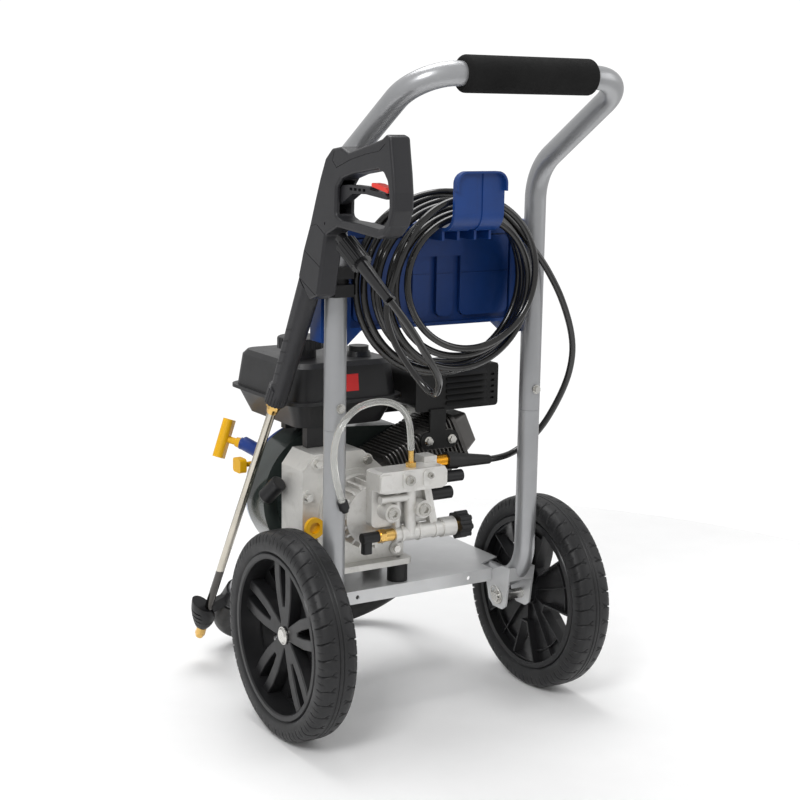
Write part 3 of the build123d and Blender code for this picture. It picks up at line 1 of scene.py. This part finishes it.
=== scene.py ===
"""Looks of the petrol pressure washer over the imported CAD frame: materials, tyres, hoses and stage.

Blender's lengths are metres.  Points written as (x, ahead, z) are in millimetres, with "ahead"
measured along the row's y from the axle line, as in the part's own source.
"""

from math import ceil, cos, pi, radians, sin

import bmesh
import bpy
from mathutils import Matrix, Vector


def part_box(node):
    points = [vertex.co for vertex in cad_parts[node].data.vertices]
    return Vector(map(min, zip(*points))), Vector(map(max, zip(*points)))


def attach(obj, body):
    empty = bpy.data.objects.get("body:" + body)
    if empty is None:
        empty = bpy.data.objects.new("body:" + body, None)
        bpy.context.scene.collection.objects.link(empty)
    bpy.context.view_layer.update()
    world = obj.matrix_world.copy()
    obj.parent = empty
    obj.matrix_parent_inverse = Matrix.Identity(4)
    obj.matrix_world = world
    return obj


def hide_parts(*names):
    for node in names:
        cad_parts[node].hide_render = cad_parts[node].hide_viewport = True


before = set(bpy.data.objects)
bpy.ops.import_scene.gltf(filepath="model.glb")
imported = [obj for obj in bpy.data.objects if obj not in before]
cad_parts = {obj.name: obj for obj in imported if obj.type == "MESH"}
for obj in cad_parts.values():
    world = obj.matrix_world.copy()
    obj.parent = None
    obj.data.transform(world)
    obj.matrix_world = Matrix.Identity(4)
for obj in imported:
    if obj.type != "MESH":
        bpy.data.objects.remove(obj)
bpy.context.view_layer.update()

MM = 0.001
tyre_low, tyre_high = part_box("left_tyre")
AXLE_Y = (tyre_low[1] + tyre_high[1]) / 2


def at(x, ahead, z):
    """A point in the row frame from its millimetre place."""
    return Vector((x * MM, AXLE_Y + ahead * MM, z * MM))


# ---------------------------------------------------------------- materials
def nodes_of(name):
    """A new material, its node tree, its shader and the object coordinates."""
    material = bpy.data.materials.new(name)
    material.use_nodes = True
    tree = material.node_tree
    shader = tree.nodes["Principled BSDF"]
    place = tree.nodes.new("ShaderNodeTexCoord")
    return material, tree, shader, place.outputs["Object"]


def noise(tree, place, scale, detail=3.0, rough=0.55):
    """Noise from 0 to 1, mostly near the middle.  A larger scale is finer."""
    node = tree.nodes.new("ShaderNodeTexNoise")
    node.inputs["Scale"].default_value = scale
    node.inputs["Detail"].default_value = detail
    node.inputs["Roughness"].default_value = rough
    tree.links.new(place, node.inputs["Vector"])
    return node.outputs["Fac"]


def spread(tree, value, low, high, start=0.3, end=0.7):
    """A value that runs from start to end, stretched and held to run from low to high."""
    node = tree.nodes.new("ShaderNodeMapRange")
    node.inputs["From Min"].default_value = start
    node.inputs["From Max"].default_value = end
    node.inputs["To Min"].default_value = low
    node.inputs["To Max"].default_value = high
    tree.links.new(value, node.inputs["Value"])
    return node.outputs["Result"]


COLOUR_A, COLOUR_B, COLOUR_OUT = 6, 7, 2     # the Mix node's colour sockets, which share their names


def mixed(tree, factor, first, second):
    """From the first colour to the second as the factor goes from 0 to 1."""
    node = tree.nodes.new("ShaderNodeMix")
    node.data_type = "RGBA"
    tree.links.new(factor, node.inputs["Factor"])
    for colour, socket in ((first, node.inputs[COLOUR_A]), (second, node.inputs[COLOUR_B])):
        if hasattr(colour, "is_output"):
            tree.links.new(colour, socket)
        else:
            socket.default_value = (*colour, 1)
    return node.outputs[COLOUR_OUT]


def within(tree, place, low, high, soft=0.0003):
    """1 inside a box of the row frame, given by its corners, and 0 outside; None is an open side."""
    parts = tree.nodes.new("ShaderNodeSeparateXYZ")
    tree.links.new(place, parts.inputs[0])
    result = None
    for k in range(3):
        for edge, before, after in ((low[k], 0, 1), (high[k], 1, 0)):
            if edge is None:
                continue
            step = spread(tree, parts.outputs[k], before, after, edge - soft, edge + soft)
            if result is None:
                result = step
                continue
            node = tree.nodes.new("ShaderNodeMath")
            node.operation = "MULTIPLY"
            tree.links.new(result, node.inputs[0])
            tree.links.new(step, node.inputs[1])
            result = node.outputs[0]
    return result


def box_of(low, high):
    """Two corners given as (x, ahead, z) in millimetres, either of which may be open."""
    corners = []
    for corner in (low, high):
        x, ahead, z = corner
        corners.append((None if x is None else x * MM,
                        None if ahead is None else AXLE_Y + ahead * MM,
                        None if z is None else z * MM))
    return corners


def bumped(tree, shader, height, strength, distance):
    """Give the shader a bump from a height, with its distance in metres."""
    node = tree.nodes.new("ShaderNodeBump")
    node.inputs["Strength"].default_value = strength
    node.inputs["Distance"].default_value = distance
    tree.links.new(height, node.inputs["Height"])
    tree.links.new(node.outputs["Normal"], shader.inputs["Normal"])


COAT_ROUGH = 0.12


def surface(name, colour, rough, metallic=0.0, grain=1500, bump=0.25, depth=0.0002, vary=0.15,
            rough_vary=0.08, coat=0.0, specular=0.36, dust=None, dust_amount=0.0, zones=()):
    """Painted, moulded or cast finish: fine grain, soft colour drift and scattered marks.

    Grain is the bump's noise scale, and vary and rough_vary are how far the colour and roughness
    drift.  Each zone is (low, high, colour): a box of the row frame that has another colour.
    """
    material, tree, shader, place = nodes_of(name)
    drift = noise(tree, place, 14, 4)
    fine = noise(tree, place, grain, 2)
    darker = tuple(c * (1 - vary) for c in colour)
    lighter = tuple(min(1, c * (1 + vary)) for c in colour)
    tint = mixed(tree, spread(tree, drift, 0, 1), darker, lighter)
    if dust:
        marks = spread(tree, noise(tree, place, 55, 8, 0.7), 0, dust_amount, 0.52, 0.72)
        tint = mixed(tree, marks, tint, dust)
    for low, high, other in zones:
        tint = mixed(tree, within(tree, place, *box_of(low, high)), tint, other)
    tree.links.new(tint, shader.inputs["Base Color"])
    patch = noise(tree, place, 38, 6, 0.65)
    uneven = spread(tree, patch, rough - rough_vary, rough + rough_vary)
    tree.links.new(uneven, shader.inputs["Roughness"])
    shader.inputs["Metallic"].default_value = metallic
    shader.inputs["Coat Weight"].default_value = coat
    shader.inputs["Coat Roughness"].default_value = COAT_ROUGH
    shader.inputs["Specular IOR Level"].default_value = specular
    bumped(tree, shader, fine, bump, depth)
    return material


# colours of the parts' zones, and a corner that leaves a zone open on its three sides
OPEN = (None, None, None)
DARK_STEEL = (0.10, 0.095, 0.09)        # the lower end of the wand
STEEL_PLUGS = (0.50, 0.49, 0.46)        # the plugs along the pump's near side
ORANGE_SLEEVE = (0.80, 0.36, 0.03)      # the fitting at the inlet
RED_SQUARE = (0.72, 0.02, 0.02)         # the plain square on the tank
PALE_BLUE = (0.62, 0.68, 0.80)          # the lower part of the starter cover

PAINT = surface("frame_paint", (0.385, 0.39, 0.40), rough=0.34, metallic=0.6, grain=900, bump=0.12,
                vary=0.05, rough_vary=0.05, coat=0.25)
PLATE = surface("plate_paint", (0.62, 0.625, 0.63), rough=0.36, metallic=0.45, grain=900, bump=0.15,
                vary=0.06, rough_vary=0.07, coat=0.1)
FOAM = surface("foam_black", (0.010, 0.010, 0.010), rough=0.95, grain=1100, bump=0.9, depth=0.0010,
               vary=0.3, rough_vary=0.04, specular=0.2)
RUBBER = surface("rubber_black", (0.012, 0.012, 0.012), rough=0.5, grain=700, bump=0.3, depth=0.0003,
                 vary=0.25, rough_vary=0.1)
TYRE = surface("tyre_rubber", (0.014, 0.014, 0.015), rough=0.46, grain=600, bump=0.5, depth=0.0004,
               vary=0.25, dust=(0.05, 0.05, 0.05), dust_amount=0.15)
RIM = surface("rim_plastic", (0.013, 0.013, 0.014), rough=0.36, grain=1300, vary=0.2, rough_vary=0.06)
BLUE = surface("blue_plastic", (0.007, 0.042, 0.19), rough=0.36, bump=0.3, vary=0.12, rough_vary=0.06)
BLACK = surface("black_plastic", (0.010, 0.010, 0.011), rough=0.38, bump=0.3, depth=0.0003, vary=0.25)
GREY = surface("gun_plastic", (0.021, 0.021, 0.0235), rough=0.38, grain=2200, bump=0.45, vary=0.08,
               rough_vary=0.05)
RED = surface("red_plastic", (0.80, 0.045, 0.030), rough=0.38, bump=0.2, vary=0.1, rough_vary=0.05)
YELLOW = surface("yellow_plastic", (0.82, 0.44, 0.004), rough=0.36, bump=0.2, vary=0.06,
                 rough_vary=0.05)
ZINC = surface("zinc_plate", (0.66, 0.65, 0.62), rough=0.28, metallic=1.0, grain=800, bump=0.15,
               depth=0.0001, rough_vary=0.1)
STEEL = surface("wand_steel", (0.62, 0.58, 0.50), rough=0.2, metallic=1.0, grain=500, bump=0.1,
                depth=0.0001, vary=0.12, rough_vary=0.07,
                zones=((OPEN, (None, None, 176), DARK_STEEL),))
SHAFT = surface("turned_steel", (0.55, 0.54, 0.52), rough=0.26, metallic=1.0, grain=500, bump=0.1,
                depth=0.0001, vary=0.12)
BRASS = surface("brass", (0.83, 0.53, 0.17), rough=0.24, metallic=1.0, grain=700, bump=0.12,
                depth=0.0001, vary=0.12)
FITTINGS = surface("pump_brass", (0.83, 0.53, 0.17), rough=0.26, metallic=1.0, grain=700, bump=0.12,
                   depth=0.0001, vary=0.12,
                   zones=(((-110, -66, None), (-4, -46, None), STEEL_PLUGS),
                          ((6, None, 360), OPEN, ORANGE_SLEEVE)))
GLOSS = surface("gloss_black", (0.010, 0.010, 0.011), rough=0.2, bump=0.15, vary=0.2, rough_vary=0.05,
                coat=0.2, specular=0.5)
IRON = surface("cast_iron", (0.16, 0.16, 0.16), rough=0.5, metallic=0.9, grain=500, bump=0.4,
               depth=0.0004, vary=0.2, rough_vary=0.1)
CAST = surface("bead_blasted_aluminium", (0.72, 0.71, 0.68), rough=0.42, metallic=0.5, grain=1300,
               bump=0.8, depth=0.0006, vary=0.07, dust=(0.45, 0.44, 0.41), dust_amount=0.4)
PUMP = surface("pump_casting", (0.70, 0.69, 0.665), rough=0.36, metallic=0.65, grain=1200, bump=0.8,
               depth=0.0006, vary=0.07, dust=(0.42, 0.40, 0.36), dust_amount=0.45)
FINS = surface("fin_casting", (0.13, 0.125, 0.12), rough=0.36, metallic=0.7, grain=900, bump=0.5,
               depth=0.0004)
TANK_BLACK = surface("tank_black", (0.013, 0.013, 0.014), rough=0.40, grain=2600, bump=0.35, vary=0.2,
                     rough_vary=0.05, coat=0.1,
                     zones=(((-92, 60, 485), (-69, 84, 510), RED_SQUARE),))
BLACK_METAL = surface("black_metal", (0.011, 0.011, 0.011), rough=0.46, metallic=0.2, grain=900,
                      bump=0.35, depth=0.0003, vary=0.25)
HOUSING = surface("housing_paint", (0.035, 0.045, 0.042), rough=0.2, metallic=0.2, grain=700, bump=0.1,
                  rough_vary=0.04, coat=0.5)
HOSE = surface("hose_black", (0.008, 0.0076, 0.0072), rough=0.17, grain=900, bump=0.08, vary=0.2,
               rough_vary=0.03, coat=0.35, specular=0.5)
RECOIL = surface("starter_cover", (0.012, 0.045, 0.24), rough=0.36, bump=0.2, vary=0.1, rough_vary=0.05,
                 zones=((OPEN, (None, None, 345), PALE_BLUE),))


def clear_vinyl():
    """The detergent hose: clear, slightly yellowed and a little cloudy."""
    material, tree, shader, place = nodes_of("clear_vinyl")
    cloud = spread(tree, noise(tree, place, 60, 4), 0, 1)
    tint = mixed(tree, cloud, (0.80, 0.80, 0.76), (0.90, 0.90, 0.87))
    tree.links.new(tint, shader.inputs["Base Color"])
    rough = spread(tree, noise(tree, place, 90, 4), 0.08, 0.2)
    tree.links.new(rough, shader.inputs["Roughness"])
    shader.inputs["Transmission Weight"].default_value = 0.75
    shader.inputs["IOR"].default_value = 1.45
    bumped(tree, shader, noise(tree, place, 400, 2), 0.08, 0.0002)
    return material


CLEAR = clear_vinyl()

# what each CAD node is made of
FINISH = {
    "lower_frame": PAINT, "handle_tube": PAINT, "base_plate": PLATE, "axle_brackets": PLATE,
    "front_foot": RUBBER, "handle_grip": FOAM, "axle_pins": ZINC, "frame_fasteners": ZINC,
    "left_tyre": TYRE, "right_tyre": TYRE, "left_rim": RIM, "right_rim": RIM, "hose_panel": BLUE,
    "hose_hook": BLUE, "spray_nozzle": BLACK, "gun_shell_left": GREY, "gun_shell_right": GREY,
    "gun_valve": BRASS, "wand_grip": GREY, "wand_brass": BRASS, "wand_tube": STEEL,
    "wand_clip": BLACK, "wand_holster": BLACK, "trigger": GREY, "trigger_lock": RED,
    "fuel_tank_upper": TANK_BLACK, "fuel_tank_lower": TANK_BLACK, "fuel_cap": BLACK,
    "crankcase": CAST, "side_cover": CAST, "engine_mounts": RUBBER, "dipstick": YELLOW,
    "cylinder": FINS, "valve_cover": FINS, "crankshaft": SHAFT, "flywheel": IRON,
    "blower_housing": HOUSING, "recoil_cover": RECOIL, "starter_reel": BLACK, "pull_handle": YELLOW,
    "muffler": BLACK_METAL, "heat_shield": BLACK_METAL, "exhaust_flange": BLACK_METAL,
    "engine_bolts": ZINC, "carburettor": CAST, "air_filter": BLACK, "oil_alert_unit": BLACK,
    "fuel_lever": YELLOW, "pump_body": PUMP, "pump_manifold": PUMP, "pump_fittings": FITTINGS,
    "inlet_knob": BLACK, "pump_valves": BLACK, "gun_hose_fitting": GLOSS, "hose_boot": RUBBER,
    "siphon_strainer": BLACK, "gun_hose": HOSE, "pump_hose": HOSE, "hose_coil": HOSE,
    "siphon_hose": CLEAR,
}
# edge radii in millimetres, where a piece has more than the plain one
PLAIN_EDGE = 0.35
BROAD_EDGE = 0.9        # from here on an edge gets one more segment
EDGE = {"gun_shell_left": 1.6, "gun_shell_right": 1.6, "hose_panel": 1.2, "hose_hook": 1.4,
        "fuel_tank_upper": 3.0, "fuel_tank_lower": 2.0, "crankcase": 2.0, "side_cover": 1.2,
        "pump_manifold": 1.0, "pump_body": 1.0, "muffler": 1.5, "blower_housing": 3.0,
        "recoil_cover": 2.5, "pull_handle": 2.5, "valve_cover": 3.0, "wand_holster": 1.2,
        "wand_clip": 0.9, "dipstick": 1.0, "left_rim": 0.9, "right_rim": 0.9, "trigger": 0.9,
        "air_filter": 3.0, "fuel_cap": 0.8, "carburettor": 1.0, "fuel_lever": 1.5}


EDGE_ANGLE = radians(32)


def soften(piece, width):
    """Round the edges of a moulding or casting by so many millimetres."""
    bevel = piece.modifiers.new("edges", "BEVEL")
    bevel.width = width * MM
    bevel.segments = 3 if width >= BROAD_EDGE else 2
    bevel.limit_method = "ANGLE"
    bevel.angle_limit = EDGE_ANGLE


def finish_cad(name):
    """Give a CAD node its material and its softened edges."""
    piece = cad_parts[name]
    piece.data.materials.clear()
    piece.data.materials.append(FINISH[name])
    soften(piece, EDGE.get(name, PLAIN_EDGE))


for node_name in FINISH:
    finish_cad(node_name)


# ---------------------------------------------------------------- building helpers
def linked(name, data):
    """A new object in the scene."""
    piece = bpy.data.objects.new(name, data)
    bpy.context.scene.collection.objects.link(piece)
    return piece


def cord_piece(name, points, radius, material, body):
    """A round cord along control points in the row frame."""
    curve = bpy.data.curves.new(name, "CURVE")
    curve.dimensions = "3D"
    curve.bevel_depth = radius
    curve.bevel_resolution = 5
    curve.use_fill_caps = True
    spline = curve.splines.new("NURBS")
    spline.points.add(len(points) - 1)
    for point, place in zip(spline.points, points):
        point.co = (*place, 1)
    spline.order_u = 3
    spline.use_endpoint_u = True
    spline.resolution_u = 6
    curve.materials.append(material)
    piece = linked(name, curve)
    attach(piece, body)
    return piece


# ---------------------------------------------------------------- tyres
# Radii and offsets from the tyre's middle plane are in millimetres.  Places round the tyre are
# shares of one pitch, the part of the tread that repeats.
PITCHES = 40
STEPS_PER_PITCH = 26
TREAD_FROM_R = 137          # the sidewall inside this radius is plain
SHOULDER_R = 149            # inside this radius the slots pull the skin in as well as down
SHOULDER_PULL = 0.02        # the share of the offset that each millimetre of depth pulls in
SLOT_FROM, SLOT_DEEP, SLOT_STEEP = 15, 3.2, 1.7
SLOT_WIDE_FROM, SLOT_WIDE, SLOT_NARROW = 20, 0.052, 0.044
LEAN, LEAN_MIDDLE, LEAN_REACH = 0.10, 17, 10
FORK_FROM, FORK_DEEP, FORK_STEEP = 8, 2.2, 1.6
FORK_SPREAD, FORK_WIDE = 0.17, 0.042
NICK_FROM, NICK_DEEP, NICK_WIDE, NICK_SHIFT = 24.5, 1.0, 0.03, 0.05

# half of the tyre's section, from the bead round the outside, as (radius, offset)
NOMINAL_R, NOMINAL_HALF = 152.5, 27.5
HALF_SECTION = [
    (117.2, 0), (117.2, 11), (117.2, 21.9), (119, 22.4), (121.6, 22.8), (123.2, 24.9), (125, 26.2),
    (128, 26.9), (132, 27.3), (136, 27.4), (139, 27.3), (142, 26.8), (144.4, 26.0), (146.4, 24.9),
    (148, 23.4), (149.2, 21.6), (150.2, 19.6), (150.9, 18.2), (151.3, 16.4), (151.6, 14.6),
    (151.8, 12.8), (152.0, 11), (152.1, 9.4), (152.1, 7.9), (152.1, 6.4), (152.2, 4.6), (152.3, 4.1),
    (149.9, 3.6), (149.9, 2.5), (152.3, 2.0), (152.4, 0.9)]
SECTION = HALF_SECTION + [(radius, -offset) for radius, offset in reversed(HALF_SECTION[1:])]


def groove(off_centre, half_width, steep, deep):
    """Depth of a groove with a flat floor and curved sides, so far from its centreline."""
    return min(1.0, max(0.0, steep - steep * (off_centre / half_width) ** 2)) * deep


def tyre_depth(angle, across, radius):
    """How far the tread is cut in at a place on the tyre's skin."""
    if radius < TREAD_FROM_R:
        return 0.0
    cell = (angle / (2 * pi) * PITCHES) % 1.0
    side = 1 if across > 0 else -1
    away = abs(across)
    # slots that run in from the shoulder and fork before the middle
    slot = abs(cell - 0.5 - LEAN * (away - LEAN_MIDDLE) / LEAN_REACH)
    if away > SLOT_FROM:
        half_width = SLOT_WIDE if away > SLOT_WIDE_FROM else SLOT_NARROW
        depth = groove(slot, half_width, SLOT_STEEP, SLOT_DEEP)
    elif away > FORK_FROM:
        fork = (SLOT_FROM - away) / (SLOT_FROM - FORK_FROM) * FORK_SPREAD
        depth = groove(abs(slot - fork), FORK_WIDE, FORK_STEEP, FORK_DEEP)
    else:
        depth = 0.0
    # short nicks between the slots, a little out of step on the two sides
    nick = abs((cell + 0.5 + NICK_SHIFT * side) % 1.0 - 0.5)
    if away > NICK_FROM and nick < NICK_WIDE:
        depth = max(depth, NICK_DEEP)
    return depth


def tyre_ring(bm, middle, angle, reach, width):
    """The tyre's section at one angle, cut by the tread there."""
    ring = []
    for radius, offset in SECTION:
        depth = tyre_depth(angle, offset, radius)
        pull = SHOULDER_PULL * depth if radius < SHOULDER_R else 0
        out = (radius - depth) * reach
        ring.append(bm.verts.new((middle[0] + offset * width * (1 - pull),
                                  middle[1] + out * cos(angle),
                                  middle[2] + out * sin(angle))))
    return ring


def make_tyre(name, node, body):
    """A treaded tyre in the place of the CAD one, with its section fitted to that one's size."""
    low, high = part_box(node)
    middle = (low + high) / 2
    reach = (high[2] - low[2]) / 2 / NOMINAL_R
    width = (high[0] - low[0]) / 2 / NOMINAL_HALF
    around = PITCHES * STEPS_PER_PITCH
    bm = bmesh.new()
    rings = [tyre_ring(bm, middle, 2 * pi * i / around, reach, width) for i in range(around)]
    for i in range(around):
        first, second = rings[i], rings[(i + 1) % around]
        for k in range(len(SECTION)):
            n = (k + 1) % len(SECTION)
            bm.faces.new((first[k], first[n], second[n], second[k]))
    bmesh.ops.recalc_face_normals(bm, faces=bm.faces)
    mesh = bpy.data.meshes.new(name)
    bm.to_mesh(mesh)
    bm.free()
    for face in mesh.polygons:
        face.use_smooth = True
    mesh.materials.append(TYRE)
    tyre = linked(name, mesh)
    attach(tyre, body)
    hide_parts(node)


for side_name in ("left", "right"):
    make_tyre(side_name + "_tread", side_name + "_tyre", side_name + "_wheel")


HALF_SPOKE = 36     # degrees, with five spokes to the turn


def turned_rim(name, node, body, degrees_on):
    """A copy of the rim's moulding, come to rest further round than the frame has it."""
    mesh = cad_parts[node].data.copy()
    mesh.name = name
    low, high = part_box(node)
    middle = Vector((low + high) / 2)
    spin = Matrix.Rotation(radians(degrees_on), 4, "X")
    mesh.transform(Matrix.Translation(middle) @ spin @ Matrix.Translation(-middle))
    piece = linked(name, mesh)
    soften(piece, EDGE[node])
    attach(piece, body)
    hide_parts(node)


turned_rim("left_rim_moulding", "left_rim", "left_wheel", HALF_SPOKE)


# ---------------------------------------------------------------- hoses
HOSE_R = 0.005
SIPHON_R = 0.005
TURNS = 8.0
START_TURN, END_TURN = 0.12, TURNS + 0.44
POINTS_PER_TURN = 16

# the first loop's sides, and how far each has come in by the last, in millimetres
LOOP_LEFT, LOOP_RIGHT, LOOP_LOW, LOOP_TOP = -146, 143, 524, 786
LEFT_IN, RIGHT_IN, LOW_IN, TOP_IN = 44, 26, 24, 34
LOOP_AHEAD, PITCH = -36, 10.2       # where the first loop hangs, and the step to the next
# over the first half turn the hose comes ahead by this much from the pump's run
FIRST_BACK, FIRST_RATE = 26, 2
# the last loop is drawn in smallest
SMALL_BEFORE, SMALL_OVER = 1.6, 0.9
SMALL_LEFT, SMALL_RIGHT, SMALL_LOW = 10, 12, 16
# and the end swings out and up towards the gun
LAST_BEFORE, LAST_OVER = 0.4, 0.75
LAST_RIGHT, LAST_TOP, LAST_LEFT, LAST_AHEAD = 18, 32, 34, -116
# the loops hang unevenly: by how much, in how many radians a turn, and from what phase
SIDE_SWAY, SIDE_RATE = 3.5, 2.4
LOW_SWAY, LOW_RATE, LOW_PHASE = 7, 1.9, 0.6

PUMP_RUN = [(112, -10, 377.3), (140, -6, 376), (176, 0, 384), (211, -6, 412), (235, -20, 462),
            (246, -32, 508), (240, -44, 557), (205, -60, 620), (175, -60, 667), (148, -62, 697)]
GUN_RUN = [(-134, -104, 636), (-128, -114, 595), (-116, -128, 564), (-97, -146, 530),
           (-92, -168, 519), (-101, -190, 529), (-113, -214, 550), (-141, -228, 581),
           (-166, -225, 622), (-190, -212, 657)]


def ease(value):
    """A smooth step from 0 to 1."""
    value = max(0.0, min(1.0, value))
    return value * value * (3 - 2 * value)


def loop_point(turn):
    """Centreline of the wound hose after so many turns, counted from the right-hand side."""
    angle = 2 * pi * turn
    step = max(0.0, turn - 1)
    inward = step / (TURNS - 1)
    sway = SIDE_SWAY * sin(SIDE_RATE * turn)
    small = ease((turn - TURNS + SMALL_BEFORE) / SMALL_OVER)
    left = LOOP_LEFT + LEFT_IN * inward + sway + SMALL_LEFT * small
    right = LOOP_RIGHT - RIGHT_IN * inward - sway * 0.5 - SMALL_RIGHT * small
    low = LOOP_LOW + LOW_IN * inward + LOW_SWAY * sin(LOW_RATE * turn + LOW_PHASE) + SMALL_LOW * small
    top = LOOP_TOP - TOP_IN * inward
    ahead = LOOP_AHEAD - PITCH * step - FIRST_BACK * (1 - ease(turn * FIRST_RATE))
    last = ease((turn - TURNS + LAST_BEFORE) / LAST_OVER)
    right += LAST_RIGHT * last
    top += LAST_TOP * last
    left -= LAST_LEFT * last
    ahead = ahead * (1 - last) + LAST_AHEAD * last
    across = (right - left) / 2
    up = (top - low) / 2
    return ((left + right) / 2 + across * cos(angle), ahead, (top + low) / 2 + up * sin(angle))


def hose_points():
    """Control points of the pressure hose, from the pump through the loops to the gun."""
    count = ceil((END_TURN - START_TURN) * POINTS_PER_TURN)
    turns = [START_TURN + (END_TURN - START_TURN) * i / count for i in range(count + 1)]
    return [at(*p) for p in PUMP_RUN] + [at(*loop_point(t)) for t in turns] + [at(*p) for p in GUN_RUN]


hose = cord_piece("pressure_hose", hose_points(), HOSE_R, HOSE, "frame")
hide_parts("gun_hose", "pump_hose", "hose_coil")

SIPHON_RUN = [(-41, -32, 412), (-43, -33, 440), (-50, -36, 463), (-68, -41, 481), (-96, -47, 491),
              (-125, -53, 492), (-152, -58, 486), (-177, -61, 464), (-187, -62, 432),
              (-184, -61, 398), (-176, -59, 372), (-170, -58, 356)]
siphon = cord_piece("siphon_tube", [at(*p) for p in SIPHON_RUN], SIPHON_R, CLEAR, "frame")
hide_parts("siphon_hose")


# ---------------------------------------------------------------- stage, light and camera
FLOOR_R = 1.25
FLOOR_SIDES = 96
FLOOR = surface("floor_white", (0.93, 0.93, 0.93), rough=0.6, grain=300, bump=0.02, depth=0.0001,
                vary=0.01, rough_vary=0.02)
# the white surroundings as they light the object, and as the camera sees them behind it
WORLD_LIGHT, WORLD_SEEN = 0.62, 1.05


def make_floor():
    """A small white floor under the object."""
    mesh = bpy.data.meshes.new("floor")
    turns = [2 * pi * i / FLOOR_SIDES for i in range(FLOOR_SIDES)]
    mesh.from_pydata([(FLOOR_R * cos(t), FLOOR_R * sin(t), 0) for t in turns], [],
                     [tuple(range(FLOOR_SIDES))])
    mesh.materials.append(FLOOR)
    linked("floor", mesh)


def make_world():
    """White surroundings: a clean backdrop, with softer light from it on the object."""
    world = bpy.data.worlds.new("studio")
    world.use_nodes = True
    tree = world.node_tree
    backdrop = tree.nodes["Background"]
    backdrop.inputs["Color"].default_value = (1, 1, 1, 1)
    ray = tree.nodes.new("ShaderNodeLightPath")
    level = spread(tree, ray.outputs["Is Camera Ray"], WORLD_LIGHT, WORLD_SEEN, 0, 1)
    tree.links.new(level, backdrop.inputs["Strength"])
    bpy.context.scene.world = world
    bpy.context.scene.view_settings.view_transform = "Standard"


def area_light(name, place, target, size, power):
    """A square lamp at a place, turned to its target."""
    data = bpy.data.lights.new(name, "AREA")
    data.shape = "SQUARE"
    data.size = size
    data.energy = power
    light = linked(name, data)
    light.location = place
    light.rotation_euler = (Vector(target) - Vector(place)).to_track_quat("-Z", "Y").to_euler()


make_floor()
make_world()
area_light("key", (-1.9, -1.6, 2.3), (0, 0, 0.4), size=0.9, power=38)
area_light("fill", (2.2, -1.5, 1.5), (0, 0, 0.5), size=1.6, power=11)
area_light("top", (0.1, 0.6, 2.8), (0, 0, 0.3), size=1.6, power=36)

# the camera, fitted to the wheels, uprights, plate and handle in the photograph
CAMERA_PLACE = (-1218.09, -1894.05, 899.73)
AZIMUTH = radians(-31.85)
ELEVATION = radians(10.66)
ROLL = radians(0.91)
FOCAL, SENSOR = 70.0, 36


def make_camera():
    """The photograph's camera, turned by its azimuth, elevation and roll."""
    data = bpy.data.cameras.new("camera")
    data.sensor_width = SENSOR
    data.lens = FOCAL
    camera = linked("camera", data)
    look = Vector((-sin(AZIMUTH) * cos(ELEVATION), cos(AZIMUTH) * cos(ELEVATION), -sin(ELEVATION)))
    level = Vector((cos(AZIMUTH), sin(AZIMUTH), 0))
    upright = level.cross(look)
    right = level * cos(ROLL) + upright * sin(ROLL)
    above = upright * cos(ROLL) - level * sin(ROLL)
    turn = Matrix((right, above, -look)).transposed().to_4x4()
    camera.matrix_world = Matrix.Translation(at(*CAMERA_PLACE)) @ turn
    bpy.context.scene.camera = camera


make_camera()
